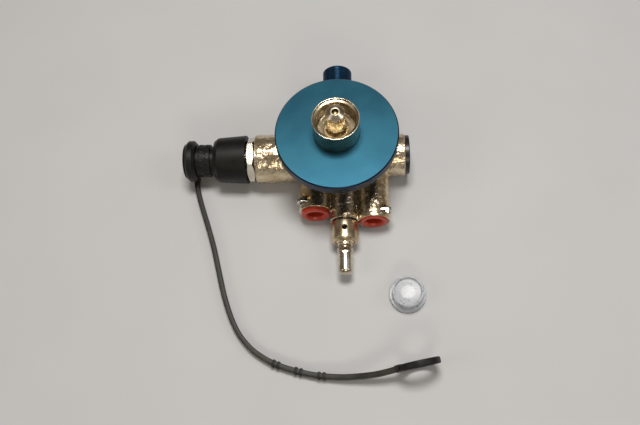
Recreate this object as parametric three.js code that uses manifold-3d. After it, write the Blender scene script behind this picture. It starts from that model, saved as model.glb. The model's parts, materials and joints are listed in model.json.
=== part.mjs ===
// Flow control valve with quick-coupling cup, push-in ports and a capped inlet.
// Units are millimetres. +Z points up along the flange's axis, +X towards the side port, and -Y
// towards the front ports. The origin is on the flat foot of the body, under the flange's axis.
import * as THREE from 'three';
import { mergeVertices } from 'three/addons/utils/BufferGeometryUtils.js';
import Module from 'manifold-3d';

const wasm = await Module();
wasm.setup();

// ---------------------------------------------------------------- driving dimensions

const GAP = 0.3; // between pieces that touch or are screwed into each other
const FINE = 40; // sides of the large turned pieces
const ROUND = 20; // sides of the middle-sized turned pieces
const SMALL = 12; // sides of the small turned pieces

// Round flange
const FLANGE_TOP_Z = 40;
const FLANGE_RADIUS = 30.7;
const FLANGE_THICKNESS = 6.3;
const FLANGE_CHAMFER = 0.5;
const REGISTER_DEPTH = 0.6; // of the recesses that centre the cup above and the neck below

// Body
const MAIN_AXIS_Z = 12.9;
const BARREL_RADIUS = 12.7;
const BARREL_LEFT_X = -43.3;
const BARREL_WAIST_X = -14;
const SIDE_BARREL_RADIUS = 11;
const SIDE_BARREL_END_X = 34.4;
const SIDE_BARREL_CHAMFER = 0.2;
const BARREL_CHAMFER = 0.4;
const GALLERY_RADIUS = 3.5;
const NECK_RADIUS = 14;
const FOOT_HALF_WIDTH = 14;
const FOOT_FRONT_Y = -24;
const FOOT_REAR_Y = 8;
const FOOT_HEIGHT = 6;

// Front bosses, side by side
const FRONT_CENTRE_X = 2.5;
const FRONT_SPACING = 14.95;
const FRONT_AXIS_Z = 9;
const BOSS_RADIUS = 8.6;
const BOSS_CLEARANCE = 0.4; // between the centre boss and the collar beside it
const BOSS_CHAMFER = 0.5;
const LEFT_BOSS_END_Y = -29.8;
const CENTRE_BOSS_END_Y = -35.4;
const RIGHT_BOSS_END_Y = -35.7;

// Coupling cup on the flange
const CUP_RADIUS = 11.6;
const CUP_HEIGHT = 12.8;
const CUP_WALL = 1.9;
const CUP_RIM_WALL = 0.6;
const CUP_LEDGE_DEPTH = 1.1;
const CUP_FLOOR = 3;
const SPIGOT_RADIUS = 7.7;
const SPIGOT_DEPTH = 15;

// Nozzle in the cup
const NOZZLE_RADIUS = 4.65;
const NOZZLE_TIP_RISE = 19.2; // above the flange
const NOZZLE_TIP_HEIGHT = 1.5;
const NOZZLE_FOOT_RADIUS = 6.2;
const NOZZLE_FOOT_HEIGHT = 0.8;
const NOZZLE_FLARE_HEIGHT = 4;
const NOZZLE_HOLE_RADIUS = 1.55;
const NOZZLE_CHAMBER_RADIUS = 3;
const NOZZLE_STEM_RADIUS = 4.4;

// Push-in ports: tube radius, then the release collar of each
const FRONT_TUBE_RADIUS = 4;
const SIDE_TUBE_RADIUS = 6;
const COLLAR_TRAVEL = 1.2;
const CARTRIDGE_WALL = 2.7; // room round the tube for the sleeve and the grab ring
const COLLAR_SLEEVE_LENGTH = 4.6;
const SEAL_SETBACK = 3.4; // behind the grab ring
const SEAL_ROOM = 1.6;
const TUBE_PAST_SEAL = 7;
const FRONT_COLLAR_RADIUS = 7.25;
const FRONT_COLLAR_FLANGE = 2;
const LEFT_COLLAR_STAND = 2;
const RIGHT_COLLAR_STAND = 0.5;
const SIDE_COLLAR_RADIUS = 10.2;
const SIDE_COLLAR_FLANGE = 2.6;
const SIDE_COLLAR_STAND = 2.4;

// Inlet adapter, under the dust cap. Its lengths count from the end of the barrel.
const HEX_ACROSS_FLATS = 21;
const HEX_END = 4.2;
const HEX_TURN = (-40 * Math.PI) / 180; // how far the adapter has been screwed round
const WASHER_THICKNESS = 0.6;
const INLET_WASHER_RADIUS = 9.6;
const INLET_THREAD_RADIUS = 8.2;
const INLET_THREAD_LENGTH = 12;
const NIPPLE_RADIUS = 8.5;
const NIPPLE_SHOULDER = 17.2;
const NIPPLE_TIP_RADIUS = 5.4;
const NIPPLE_TIP = 27.7;
const INLET_BORE_RADIUS = 4;
const INLET_SEAT_SETBACK = 1.5;
const GROOVE_FROM_HEX = 5; // the coupler's balls snap into this groove of the nipple

// Dust cap, with its lengths from the end of the barrel too
const CAP_OPEN = 4.6;
const CAP_SHOULDER = 21.7;
const CAP_SKIRT_RADIUS = 12.7;
const CAP_SKIRT_TAPER = 0.9;
const CAP_CLEARANCE = 0.4;
const CAP_GROOVE_RADIUS = 7.4;
const CAP_NECK = 24;
const CAP_NECK_RADIUS = 8.4;
const CAP_SEAT = 31.4;
const CAP_SEAT_RADIUS = 7.6;
const CAP_HEAD = 37.3;
const CAP_END = 38.7;
const CAP_HEAD_RADIUS = 9.5;
const CAP_TIP_ROOM = 3; // between the nipple's tip and the end of the cap's cavity
const CAP_SHOULDER_RADIUS = 10.4;
const CAP_SHOULDER_SLOPE = 2; // length of the cone between the shoulder's face and the skirt

// Tether of the dust cap
const TETHER_RING_RADIUS = 10.8;
const TETHER_RING_CHAMFER = 1.4;
const STRAP_THICKNESS = 2;
const STRAP_HEIGHT = 4;
const STRAP_FOOT_Y = -7.3;
const STRAP_REST_Z = 2.3;
const STRAP_ROOT_LENGTH = 3.4;
const LOOP_RADIUS = 10.3;
const LOOP_HOLE_RADIUS = 7;
const LOOP_THICKNESS = 3.2;
const LOOP_CENTRE = [36, -108.8, 10.7];
const LOOP_TURN = 0.2; // of the loop's plane from the XZ plane, in radians
const LOOP_LEAN = 0.14; // of its top towards the front

// Vent fitting with its plunger
const VENT_RADIUS = 7;
const VENT_END_CHAMFER = 1;
const VENT_GAP_Y = 1;
const VENT_LENGTH = 10.4;
const VENT_THREAD_RADIUS = 4.4;
const VENT_THREAD_LENGTH = 11;
const VENT_PASSAGE_RADIUS = 1.5;
const VENT_CHAMBER_RADIUS = 4.9;
const VENT_CHAMBER_FLOOR = 1.4;
const VENT_HOLE_RADIUS = 1.25;
const VENT_SEAL_INSET = 1;
const VENT_SEAL_SECTION = 0.35;
const VENT_HOLE_SETBACK = 4.4;
const VENT_NECK_RADIUS = 3.75;
const VENT_NECK_LENGTH = 1.9;
const GLAND_THICKNESS = 2.8;
const PLUNGER_RADIUS = 3.6;
const PLUNGER_BEAD_RADIUS = 4;
const PLUNGER_BEAD_LENGTH = 2.8;
const PLUNGER_STEM_RADIUS = 2.2;
const PLUNGER_NOSE_LENGTH = 10.7;
const PLUNGER_TRAVEL = 1;
const CROSS_HOLE_RADIUS = 1.9;
const CROSS_HOLE_FLOOR = 1.4; // below the plunger's axis

// Flow adjustment at the rear
const REAR_BOSS_RADIUS = 9.5;
const REAR_BOSS_END_Y = 17;
const BONNET_HEX_ACROSS_FLATS = 15;
const BONNET_HEX_LENGTH = 4;
const BONNET_THREAD_RADIUS = 6;
const BONNET_THREAD_LENGTH = 10;
const BONNET_NECK_RADIUS = 4.9;
const BONNET_NECK_LENGTH = 12;
const NEEDLE_RADIUS = 1.6;
const NEEDLE_POINT_LENGTH = 3;
const NEEDLE_DRIVE_ACROSS_FLATS = 5;
const NEEDLE_DRIVE_LENGTH = 6;
const NEEDLE_TRAVEL = 1.5;
const SEAT_RADIUS = 3;
const SEAT_THICKNESS = 2;
const SEAT_SETBACK = 2.5; // below the bonnet's thread
const SEAT_HOLE_RADIUS = 1.1;
const KNOB_RADIUS = 7.8;
const KNOB_START = 9; // from the rear boss
const KNOB_END = 35.4;
const KNOB_CHAMFER = 0.8;

// Retaining clips of the two outer cartridges
const CLIP_WIRE = 1.8;
const CLIP_WIDTH = 5.6;
const CLIP_SETBACK_Y = 4;
const CLIP_DEPTH = 5;

// Loose port plug, on the ground beside the valve
const PLUG_X = 33;
const PLUG_Y = -72.5;
const PLUG_BRIM_RADIUS = 9.2;
const PLUG_BRIM_HEIGHT = 2.4;
const PLUG_RADIUS = 7.7;
const PLUG_HEIGHT = 8;
const PLUG_WALL = 0.9;
const PLUG_RECESS = 1.4;

// ---------------------------------------------------------------- materials

const finish = (color, roughness, metalness) =>
  new THREE.MeshStandardMaterial({ color, roughness, metalness });
const nickel = finish(0xb9b2a4, 0.22, 1);
const brightNickel = finish(0xc9c0a8, 0.15, 1);
const teal = finish(0x1f6f8b, 0.42, 0.7);
const navy = finish(0x0b2347, 0.35, 0.7);
const blackRubber = finish(0x1c1c1a, 0.6, 0);
const strapRubber = finish(0x3c3c32, 0.6, 0);
const sealRubber = finish(0x161616, 0.7, 0);
const blackPlastic = finish(0x151515, 0.4, 0);
const redPlastic = finish(0xb3301c, 0.4, 0);
const clearPlastic = finish(0xd5dcea, 0.3, 0);
const steel = finish(0x9a9a98, 0.35, 1);
const brass = finish(0xb08d45, 0.3, 1);

// ---------------------------------------------------------------- shaping

// A closed geometry as a manifold-3d solid, and back.
function toSolid(geometry) {
  const bare = geometry.index ? geometry.toNonIndexed() : geometry.clone();
  bare.deleteAttribute('normal');
  bare.deleteAttribute('uv');
  const merged = mergeVertices(bare, 1e-4);
  return new wasm.Manifold(
    new wasm.Mesh({
      numProp: 3,
      vertProperties: new Float32Array(merged.attributes.position.array),
      triVerts: new Uint32Array(merged.index.array),
    }),
  );
}

function toGeometry(solid) {
  const { vertProperties, triVerts } = solid.getMesh();
  const geometry = new THREE.BufferGeometry();
  geometry.setAttribute('position', new THREE.BufferAttribute(vertProperties, 3));
  geometry.setIndex(new THREE.BufferAttribute(triVerts, 1));
  geometry.computeVertexNormals();
  return geometry;
}

const join = (...parts) => toGeometry(parts.map(toSolid).reduce((a, b) => a.add(b)));
const cut = (body, ...tools) =>
  toGeometry(tools.map(toSolid).reduce((a, b) => a.subtract(b), toSolid(body)));

// The profile lists [radius, height] upwards along +Z. One that leaves the axis closes on itself.
function turned(profile, sides) {
  const points = profile.map(([radius, height]) => new THREE.Vector2(radius, height));
  if (profile[0][0] > 0) points.push(points[0].clone());
  return new THREE.LatheGeometry(points, sides).rotateX(Math.PI / 2);
}

// A plain solid rod from one height to another.
const rod = (radius, from, to, sides) =>
  turned([[0, from], [radius, from], [radius, to], [0, to]], sides);

// A round ring of round section, centred on height.
function oRing(radius, section, height, sides = ROUND) {
  return new THREE.TorusGeometry(radius, section, 6, sides).translate(0, 0, height);
}

// A hexagonal bar along +Z with rounded-off corners at both ends.
function hexBar(acrossFlats, from, to, sides) {
  const corner = acrossFlats / Math.sqrt(3);
  const outline = new THREE.Shape();
  for (let side = 0; side < 6; side++) {
    const turn = (side * Math.PI) / 3;
    outline[side ? 'lineTo' : 'moveTo'](corner * Math.cos(turn), corner * Math.sin(turn));
  }
  const bar = new THREE.ExtrudeGeometry(outline, { depth: to - from, bevelEnabled: false });
  const ease = corner - acrossFlats / 2;
  const easeHeight = ease * 0.4;
  const round = turned(
    [[0, from], [corner - ease, from], [corner, from + easeHeight], [corner, to - easeHeight],
      [corner - ease, to], [0, to]],
    sides,
  );
  return toGeometry(toSolid(bar.translate(0, 0, from)).intersect(toSolid(round)));
}

// A coil spring along +Z between two heights.
function coilSpring(radius, wire, from, to, turns) {
  const STEPS_A_TURN = 9;
  const steps = turns * STEPS_A_TURN;
  const points = [];
  for (let step = 0; step <= steps; step++) {
    const turn = (step / STEPS_A_TURN) * 2 * Math.PI;
    const height = from + wire + ((to - from - 2 * wire) * step) / steps;
    points.push(new THREE.Vector3(radius * Math.cos(turn), radius * Math.sin(turn), height));
  }
  const section = new THREE.Shape().absarc(0, 0, wire, 0, 2 * Math.PI);
  return new THREE.ExtrudeGeometry(section, {
    extrudePath: new THREE.CatmullRomCurve3(points),
    steps,
    curveSegments: 2.5,
  });
}

// ---------------------------------------------------------------- assembly

const valve = new THREE.Group();

// Groups whose +Z runs along each port's outward direction.
function place(x, y, z, outward) {
  const group = new THREE.Group();
  group.position.set(x, y, z);
  group.quaternion.setFromUnitVectors(new THREE.Vector3(0, 0, 1), outward);
  valve.add(group);
  return group;
}

function add(group, name, geometry, material) {
  const mesh = new THREE.Mesh(geometry, material);
  mesh.name = name;
  group.add(mesh);
  return mesh;
}

const FRONT = new THREE.Vector3(0, -1, 0);
const REAR = new THREE.Vector3(0, 1, 0);
const LEFT = new THREE.Vector3(-1, 0, 0);
const RIGHT = new THREE.Vector3(1, 0, 0);

const upright = new THREE.Group();
valve.add(upright);
const leftPort = place(FRONT_CENTRE_X - FRONT_SPACING, LEFT_BOSS_END_Y, FRONT_AXIS_Z, FRONT);
const ventPort = place(FRONT_CENTRE_X, CENTRE_BOSS_END_Y, FRONT_AXIS_Z, FRONT);
const rightPort = place(FRONT_CENTRE_X + FRONT_SPACING, RIGHT_BOSS_END_Y, FRONT_AXIS_Z, FRONT);
const sidePort = place(SIDE_BARREL_END_X, 0, MAIN_AXIS_Z, RIGHT);
const inlet = place(BARREL_LEFT_X, 0, MAIN_AXIS_Z, LEFT);
const rear = place(0, REAR_BOSS_END_Y, MAIN_AXIS_Z, REAR);

// ---------------------------------------------------------------- push-in ports

// Every port's heights count outwards from the boss's end face, so its bore is below zero.
function pushInPort(tubeRadius, collarRadius, collarFlange, collarStand) {
  const bore = tubeRadius + CARTRIDGE_WALL;
  const sleeve = tubeRadius + 1.3;
  const collarBack = collarStand - collarFlange;
  const recess = Math.min(0, collarBack - COLLAR_TRAVEL - GAP);
  const collarEnd = recess - COLLAR_SLEEVE_LENGTH;
  const grabTop = collarEnd - COLLAR_TRAVEL - GAP;
  const sealHeight = grabTop - SEAL_SETBACK;
  return {
    bore,
    sleeve,
    collarRadius,
    collarStand,
    collarBack,
    recess,
    collarEnd,
    grabTop,
    sealHeight,
    tubeRadius,
    boreEnd: sealHeight - SEAL_ROOM,
    tubeStop: sealHeight - TUBE_PAST_SEAL,
  };
}

// What is cut out of the body for one port, down to its tube stop and on to the gallery.
function portBore(port, passageRadius, passageDepth, sides) {
  const recess = port.recess < 0
    ? [[port.collarRadius + GAP, port.recess], [port.collarRadius + GAP, 1]]
    : [[port.bore, 1]];
  return turned(
    [[0, passageDepth], [passageRadius, passageDepth], [passageRadius, port.tubeStop],
      [port.tubeRadius + 0.15, port.tubeStop], [port.tubeRadius + 0.15, port.boreEnd],
      [port.bore, port.boreEnd], ...(port.recess < 0 ? [[port.bore, port.recess]] : []),
      ...recess, [0, 1]],
    sides,
  );
}

// The sleeve that holds the collar, the toothed grab ring, the seal and the release collar.
function pushInPieces(group, name, port, collarMaterial, sides) {
  const outer = port.bore - GAP;
  const inner = port.sleeve + GAP;
  const sleeveTop = port.recess - GAP;
  add(group, `${name}_port_sleeve`, turned(
    [[inner, port.collarEnd + 0.4], [outer, port.collarEnd - 0.4], [outer, sleeveTop],
      [inner, sleeveTop]], sides), brass);
  add(group, `${name}_grab_ring`, grabRing(port, outer), steel);
  add(group, `${name}_port_seal`,
    oRing((outer + port.tubeRadius + 0.3) / 2, (outer - port.tubeRadius - 0.3) / 2,
      port.sealHeight, sides), sealRubber);
  add(group, `${name}_release_collar`, turned(
    [[port.tubeRadius + 0.6, port.collarEnd], [port.sleeve, port.collarEnd],
      [port.sleeve, port.collarBack], [port.collarRadius - 0.3, port.collarBack],
      [port.collarRadius, port.collarBack + 0.4], [port.collarRadius, port.collarStand - 0.4],
      [port.collarRadius - 0.5, port.collarStand], [port.tubeRadius + 0.9, port.collarStand],
      [port.tubeRadius + 0.15, port.collarStand - 0.9],
      [port.tubeRadius + 0.15, port.collarEnd + 0.6]], sides), collarMaterial);
}

// A thin dished ring with slots between its teeth.
function grabRing(port, outer) {
  const TEETH = 8;
  const tip = port.tubeRadius + 0.3;
  const ring = turned(
    [[outer, port.grabTop - 1.4], [outer, port.grabTop - 0.8], [outer - 0.8, port.grabTop - 0.8],
      [tip, port.grabTop - 1.6], [tip, port.grabTop - 2.1], [outer - 0.8, port.grabTop - 1.4]],
    SMALL);
  const slots = [];
  for (let tooth = 0; tooth < TEETH / 2; tooth++) {
    const slot = new THREE.BoxGeometry(2 * tip + 1.2, 0.5, 4);
    slots.push(slot.rotateZ((tooth * 2 * Math.PI) / TEETH).translate(0, 0, port.grabTop - 1.4));
  }
  return cut(ring, ...slots);
}

const frontPort = stand =>
  pushInPort(FRONT_TUBE_RADIUS, FRONT_COLLAR_RADIUS, FRONT_COLLAR_FLANGE, stand);
const left = frontPort(LEFT_COLLAR_STAND);
const right = frontPort(RIGHT_COLLAR_STAND);
const side = pushInPort(
  SIDE_TUBE_RADIUS, SIDE_COLLAR_RADIUS, SIDE_COLLAR_FLANGE, SIDE_COLLAR_STAND);
pushInPieces(leftPort, 'left', left, redPlastic, ROUND);
pushInPieces(rightPort, 'right', right, redPlastic, ROUND);
pushInPieces(sidePort, 'side', side, blackPlastic, ROUND);

// ---------------------------------------------------------------- body

// A tool made along a group's +Z, moved to where the group stands.
function standing(group, geometry) {
  group.updateMatrixWorld(true);
  return geometry.applyMatrix4(group.matrixWorld);
}

const neckTopZ = FLANGE_TOP_Z - FLANGE_THICKNESS + REGISTER_DEPTH - GAP;
const spigotBoreRadius = SPIGOT_RADIUS + GAP;
const spigotEndZ = FLANGE_TOP_Z - SPIGOT_DEPTH;
const CUP_SEAL_SECTION = 0.55;
const cupSealZ = spigotEndZ - GAP - CUP_SEAL_SECTION;
const centreBossRadius = FRONT_SPACING - FRONT_COLLAR_RADIUS - BOSS_CLEARANCE;
const seatTop = -BONNET_THREAD_LENGTH - SEAT_SETBACK;

function boss(group, radius, length, chamfer) {
  return standing(group, turned(
    [[0, -length], [radius, -length], [radius, -chamfer], [radius - chamfer, 0], [0, 0]], ROUND));
}

function valveBody() {
  const barrelLength = SIDE_BARREL_END_X - BARREL_LEFT_X;
  const waist = BARREL_WAIST_X - BARREL_LEFT_X;
  const taper = BARREL_RADIUS - SIDE_BARREL_RADIUS;
  const barrel = standing(inlet, turned(
    [[0, -barrelLength], [SIDE_BARREL_RADIUS - SIDE_BARREL_CHAMFER, -barrelLength],
      [SIDE_BARREL_RADIUS, -barrelLength + SIDE_BARREL_CHAMFER],
      [SIDE_BARREL_RADIUS, -waist - taper], [BARREL_RADIUS, -waist],
      [BARREL_RADIUS, -BARREL_CHAMFER], [BARREL_RADIUS - BARREL_CHAMFER, 0], [0, 0]], FINE));
  const neck = turned(
    [[0, MAIN_AXIS_Z], [NECK_RADIUS, MAIN_AXIS_Z], [NECK_RADIUS, neckTopZ], [0, neckTopZ]], FINE);
  const foot = new THREE.BoxGeometry(
    2 * FOOT_HALF_WIDTH, FOOT_REAR_Y - FOOT_FRONT_Y, FOOT_HEIGHT,
  ).translate(FRONT_CENTRE_X, (FOOT_REAR_Y + FOOT_FRONT_Y) / 2, FOOT_HEIGHT / 2);
  const outside = join(
    barrel,
    neck,
    foot,
    boss(leftPort, BOSS_RADIUS, -LEFT_BOSS_END_Y, BOSS_CHAMFER),
    boss(ventPort, centreBossRadius, -CENTRE_BOSS_END_Y, BOSS_CHAMFER),
    boss(rightPort, BOSS_RADIUS, -RIGHT_BOSS_END_Y, BOSS_CHAMFER),
    boss(rear, REAR_BOSS_RADIUS, REAR_BOSS_END_Y, BOSS_CHAMFER),
  );
  const galleryLeft = -INLET_THREAD_LENGTH - 2;
  const inletBore = standing(inlet, turned(
    [[0, -barrelLength + 20], [GALLERY_RADIUS, -barrelLength + 20], [GALLERY_RADIUS, galleryLeft],
      [INLET_THREAD_RADIUS + GAP, galleryLeft], [INLET_THREAD_RADIUS + GAP, 1], [0, 1]], ROUND));
  const spigotBoreEnd = cupSealZ - CUP_SEAL_SECTION - 0.1;
  const spigotBore = turned(
    [[0, MAIN_AXIS_Z], [3, MAIN_AXIS_Z], [3, spigotBoreEnd], [spigotBoreRadius, spigotBoreEnd],
      [spigotBoreRadius, neckTopZ + 1], [0, neckTopZ + 1]], ROUND);
  const ventBoreRadius = VENT_THREAD_RADIUS + GAP;
  const ventBoreEnd = -VENT_THREAD_LENGTH - 1;
  const ventBore = standing(ventPort, turned(
    [[0, CENTRE_BOSS_END_Y], [VENT_PASSAGE_RADIUS, CENTRE_BOSS_END_Y],
      [VENT_PASSAGE_RADIUS, ventBoreEnd], [ventBoreRadius, ventBoreEnd], [ventBoreRadius, 1],
      [0, 1]], SMALL));
  const bonnetBoreRadius = BONNET_THREAD_RADIUS + GAP;
  const bonnetBoreEnd = -BONNET_THREAD_LENGTH - GAP;
  const seatEnd = seatTop - SEAT_THICKNESS - GAP;
  const needleBore = standing(rear, turned(
    [[0, -REAR_BOSS_END_Y], [SEAT_HOLE_RADIUS, -REAR_BOSS_END_Y], [SEAT_HOLE_RADIUS, seatEnd],
      [SEAT_RADIUS, seatEnd], [SEAT_RADIUS, bonnetBoreEnd], [bonnetBoreRadius, bonnetBoreEnd],
      [bonnetBoreRadius, 1], [0, 1]], SMALL));
  return cut(
    outside,
    inletBore,
    spigotBore,
    ventBore,
    needleBore,
    standing(sidePort, portBore(side, GALLERY_RADIUS, side.tubeStop - 6, ROUND)),
    standing(leftPort, portBore(left, 2, LEFT_BOSS_END_Y, ROUND)),
    standing(rightPort, portBore(right, 2, RIGHT_BOSS_END_Y, ROUND)),
    ...clips.map(clip => clip.slot),
  );
}

// ---------------------------------------------------------------- retaining clips

// Each clip is bent wire: a crown lying across the boss, and one leg down its outer side.
function retainingClip(port, outwards) {
  const [x, endY] = [port.position.x, port.position.y];
  const y = endY + CLIP_SETBACK_Y;
  const topZ = FRONT_AXIS_Z + BOSS_RADIUS;
  const legX = x + outwards * (BOSS_RADIUS + CLIP_WIRE / 2 - 1.2);
  const crownX = legX - (outwards * (CLIP_WIDTH - CLIP_WIRE)) / 2;
  const bar = (width, depth, height) => new THREE.BoxGeometry(width, depth, height);
  const shape = slack => [
    bar(CLIP_WIDTH + slack, CLIP_WIRE + slack, CLIP_WIRE + slack)
      .translate(crownX, y, topZ - CLIP_WIRE),
    bar(CLIP_WIRE + slack, CLIP_WIRE + slack, CLIP_DEPTH + slack)
      .translate(legX, y, topZ - CLIP_WIRE / 2 - CLIP_DEPTH / 2),
  ];
  return { wire: join(...shape(0)), slot: join(...shape(2 * GAP)) };
}

const clips = [retainingClip(leftPort, -1), retainingClip(rightPort, 1)];
add(upright, 'left_retaining_clip', clips[0].wire, steel);
add(upright, 'right_retaining_clip', clips[1].wire, steel);
add(upright, 'valve_body', valveBody(), nickel);

// ---------------------------------------------------------------- flange and coupling cup

// The cup stands in a shallow recess of the top face, and the neck ends in one of the underside.
const flangeUndersideZ = FLANGE_TOP_Z - FLANGE_THICKNESS;
const cupRecessZ = FLANGE_TOP_Z - REGISTER_DEPTH;
const neckRecessZ = flangeUndersideZ + REGISTER_DEPTH;
add(upright, 'top_flange', turned(
  [[spigotBoreRadius, neckRecessZ], [NECK_RADIUS + GAP, neckRecessZ],
    [NECK_RADIUS + GAP, flangeUndersideZ], [FLANGE_RADIUS - FLANGE_CHAMFER, flangeUndersideZ],
    [FLANGE_RADIUS, flangeUndersideZ + FLANGE_CHAMFER],
    [FLANGE_RADIUS, FLANGE_TOP_Z - FLANGE_CHAMFER],
    [FLANGE_RADIUS - FLANGE_CHAMFER, FLANGE_TOP_Z], [CUP_RADIUS + GAP, FLANGE_TOP_Z],
    [CUP_RADIUS + GAP, cupRecessZ], [spigotBoreRadius, cupRecessZ]], FINE), teal);

const cupBaseZ = cupRecessZ + GAP;
const cupFloorZ = FLANGE_TOP_Z + CUP_FLOOR;
const cupRimZ = FLANGE_TOP_Z + CUP_HEIGHT;
const cupInnerRadius = CUP_RADIUS - CUP_WALL;
const stemBoreRadius = NOZZLE_STEM_RADIUS + GAP;
add(upright, 'coupling_cup', turned(
  [[stemBoreRadius, spigotEndZ], [SPIGOT_RADIUS, spigotEndZ],
    [SPIGOT_RADIUS, cupBaseZ], [CUP_RADIUS, cupBaseZ],
    [CUP_RADIUS, cupRimZ - 0.2], [CUP_RADIUS - 0.15, cupRimZ], [CUP_RADIUS - CUP_RIM_WALL, cupRimZ],
    [CUP_RADIUS - CUP_RIM_WALL, cupRimZ - CUP_LEDGE_DEPTH],
    [cupInnerRadius, cupRimZ - CUP_LEDGE_DEPTH], [cupInnerRadius, cupFloorZ],
    [stemBoreRadius, cupFloorZ]], FINE), nickel);
add(upright, 'cup_seal', oRing(
  (SPIGOT_RADIUS + stemBoreRadius) / 2, CUP_SEAL_SECTION, cupSealZ), sealRubber);

// ---------------------------------------------------------------- nozzle and its poppet

const nozzleFootZ = cupFloorZ + GAP;
const nozzleTipZ = FLANGE_TOP_Z + NOZZLE_TIP_RISE;
const nozzleShoulderZ = nozzleTipZ - NOZZLE_TIP_HEIGHT;
const nozzleSeatZ = nozzleShoulderZ - 4;
const nozzleStemZ = spigotEndZ + 2;
const seatSlope = NOZZLE_CHAMBER_RADIUS - NOZZLE_HOLE_RADIUS;
add(upright, 'nozzle', turned(
  [[NOZZLE_CHAMBER_RADIUS, nozzleStemZ], [NOZZLE_STEM_RADIUS, nozzleStemZ],
    [NOZZLE_STEM_RADIUS, nozzleFootZ], [NOZZLE_FOOT_RADIUS, nozzleFootZ],
    [NOZZLE_FOOT_RADIUS, nozzleFootZ + NOZZLE_FOOT_HEIGHT],
    [NOZZLE_RADIUS, nozzleFootZ + NOZZLE_FLARE_HEIGHT], [NOZZLE_RADIUS, nozzleShoulderZ],
    [NOZZLE_HOLE_RADIUS + 0.6, nozzleTipZ], [NOZZLE_HOLE_RADIUS, nozzleTipZ],
    [NOZZLE_HOLE_RADIUS, nozzleSeatZ], [NOZZLE_CHAMBER_RADIUS, nozzleSeatZ - seatSlope]],
  ROUND), brightNickel);

const nozzlePinRadius = NOZZLE_HOLE_RADIUS - 0.65;
const nozzleHeadRadius = NOZZLE_CHAMBER_RADIUS - 0.4;
const nozzleConeTopZ = nozzleSeatZ - 0.5 + NOZZLE_HOLE_RADIUS - nozzlePinRadius;
const nozzleConeFootZ = nozzleConeTopZ - (nozzleHeadRadius - nozzlePinRadius);
const nozzleHeadZ = nozzleConeFootZ - 1.6;
const nozzlePlugZ = nozzleStemZ + 6;
add(upright, 'nozzle_poppet', turned(
  [[0, nozzleHeadZ - 3], [1.1, nozzleHeadZ - 3], [1.1, nozzleHeadZ],
    [nozzleHeadRadius, nozzleHeadZ], [nozzleHeadRadius, nozzleConeFootZ],
    [nozzlePinRadius, nozzleConeTopZ], [nozzlePinRadius, nozzleTipZ - 1], [0, nozzleTipZ - 1]],
  SMALL), brass);
add(upright, 'nozzle_spring_seat', turned(
  [[1.2, nozzlePlugZ], [NOZZLE_CHAMBER_RADIUS - GAP, nozzlePlugZ],
    [NOZZLE_CHAMBER_RADIUS - GAP, nozzlePlugZ + 2.4], [1.2, nozzlePlugZ + 2.4]], SMALL), brass);
add(upright, 'nozzle_spring', coilSpring(
  nozzleHeadRadius - 0.7, 0.35, nozzlePlugZ + 2.4 + GAP, nozzleHeadZ - GAP, 6), steel);

// ---------------------------------------------------------------- inlet adapter

const hexFrom = WASHER_THICKNESS + 2 * GAP;
const inletMouthRadius = INLET_BORE_RADIUS - 1.4;
const inletSeat = NIPPLE_TIP - INLET_SEAT_SETBACK;
const nippleCone = NIPPLE_RADIUS - NIPPLE_TIP_RADIUS;
const grooveFrom = HEX_END + GROOVE_FROM_HEX;

function inletAdapter() {
  const outside = turned(
    [[0, -INLET_THREAD_LENGTH], [INLET_THREAD_RADIUS, -INLET_THREAD_LENGTH],
      [INLET_THREAD_RADIUS, hexFrom + 1], [NIPPLE_RADIUS, hexFrom + 1],
      [NIPPLE_RADIUS, grooveFrom], [NIPPLE_RADIUS - 1, grooveFrom + 0.8],
      [NIPPLE_RADIUS - 1, grooveFrom + 2.2], [NIPPLE_RADIUS, grooveFrom + 3],
      [NIPPLE_RADIUS, NIPPLE_SHOULDER], [NIPPLE_TIP_RADIUS, NIPPLE_SHOULDER + nippleCone],
      [NIPPLE_TIP_RADIUS, NIPPLE_TIP - 0.5], [NIPPLE_TIP_RADIUS - 0.5, NIPPLE_TIP], [0, NIPPLE_TIP]],
    ROUND);
  const bore = turned(
    [[0, -INLET_THREAD_LENGTH - 1], [INLET_BORE_RADIUS, -INLET_THREAD_LENGTH - 1],
      [INLET_BORE_RADIUS, inletSeat - 1.4], [inletMouthRadius, inletSeat],
      [inletMouthRadius, NIPPLE_TIP + 1], [0, NIPPLE_TIP + 1]], ROUND);
  const hex = hexBar(HEX_ACROSS_FLATS, hexFrom, HEX_END, FINE).rotateZ(HEX_TURN);
  return cut(join(outside, hex), bore);
}

add(inlet, 'inlet_washer', turned(
  [[INLET_THREAD_RADIUS + GAP, GAP], [INLET_WASHER_RADIUS, GAP],
    [INLET_WASHER_RADIUS, GAP + WASHER_THICKNESS],
    [INLET_THREAD_RADIUS + GAP, GAP + WASHER_THICKNESS]], ROUND), sealRubber);
add(inlet, 'inlet_adapter', inletAdapter(), nickel);

const inletHeadRadius = INLET_BORE_RADIUS - 0.5;
const inletPinRadius = inletMouthRadius - 0.8;
const inletConeTop = inletSeat - 0.4 + inletMouthRadius - inletPinRadius;
const inletConeFoot = inletConeTop - (inletHeadRadius - inletPinRadius);
const inletHead = inletConeFoot - 2.4;
const inletPlug = HEX_END + 0.8;
add(inlet, 'inlet_poppet', turned(
  [[0, inletHead - 3], [1.3, inletHead - 3], [1.3, inletHead], [inletHeadRadius, inletHead],
    [inletHeadRadius, inletConeFoot], [inletPinRadius, inletConeTop],
    [inletPinRadius, NIPPLE_TIP - 0.6], [0, NIPPLE_TIP - 0.6]], SMALL), brass);
add(inlet, 'inlet_spring_seat', turned(
  [[1.8, inletPlug], [INLET_BORE_RADIUS - GAP, inletPlug],
    [INLET_BORE_RADIUS - GAP, inletPlug + 2.2], [1.8, inletPlug + 2.2]], SMALL), brass);
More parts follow.
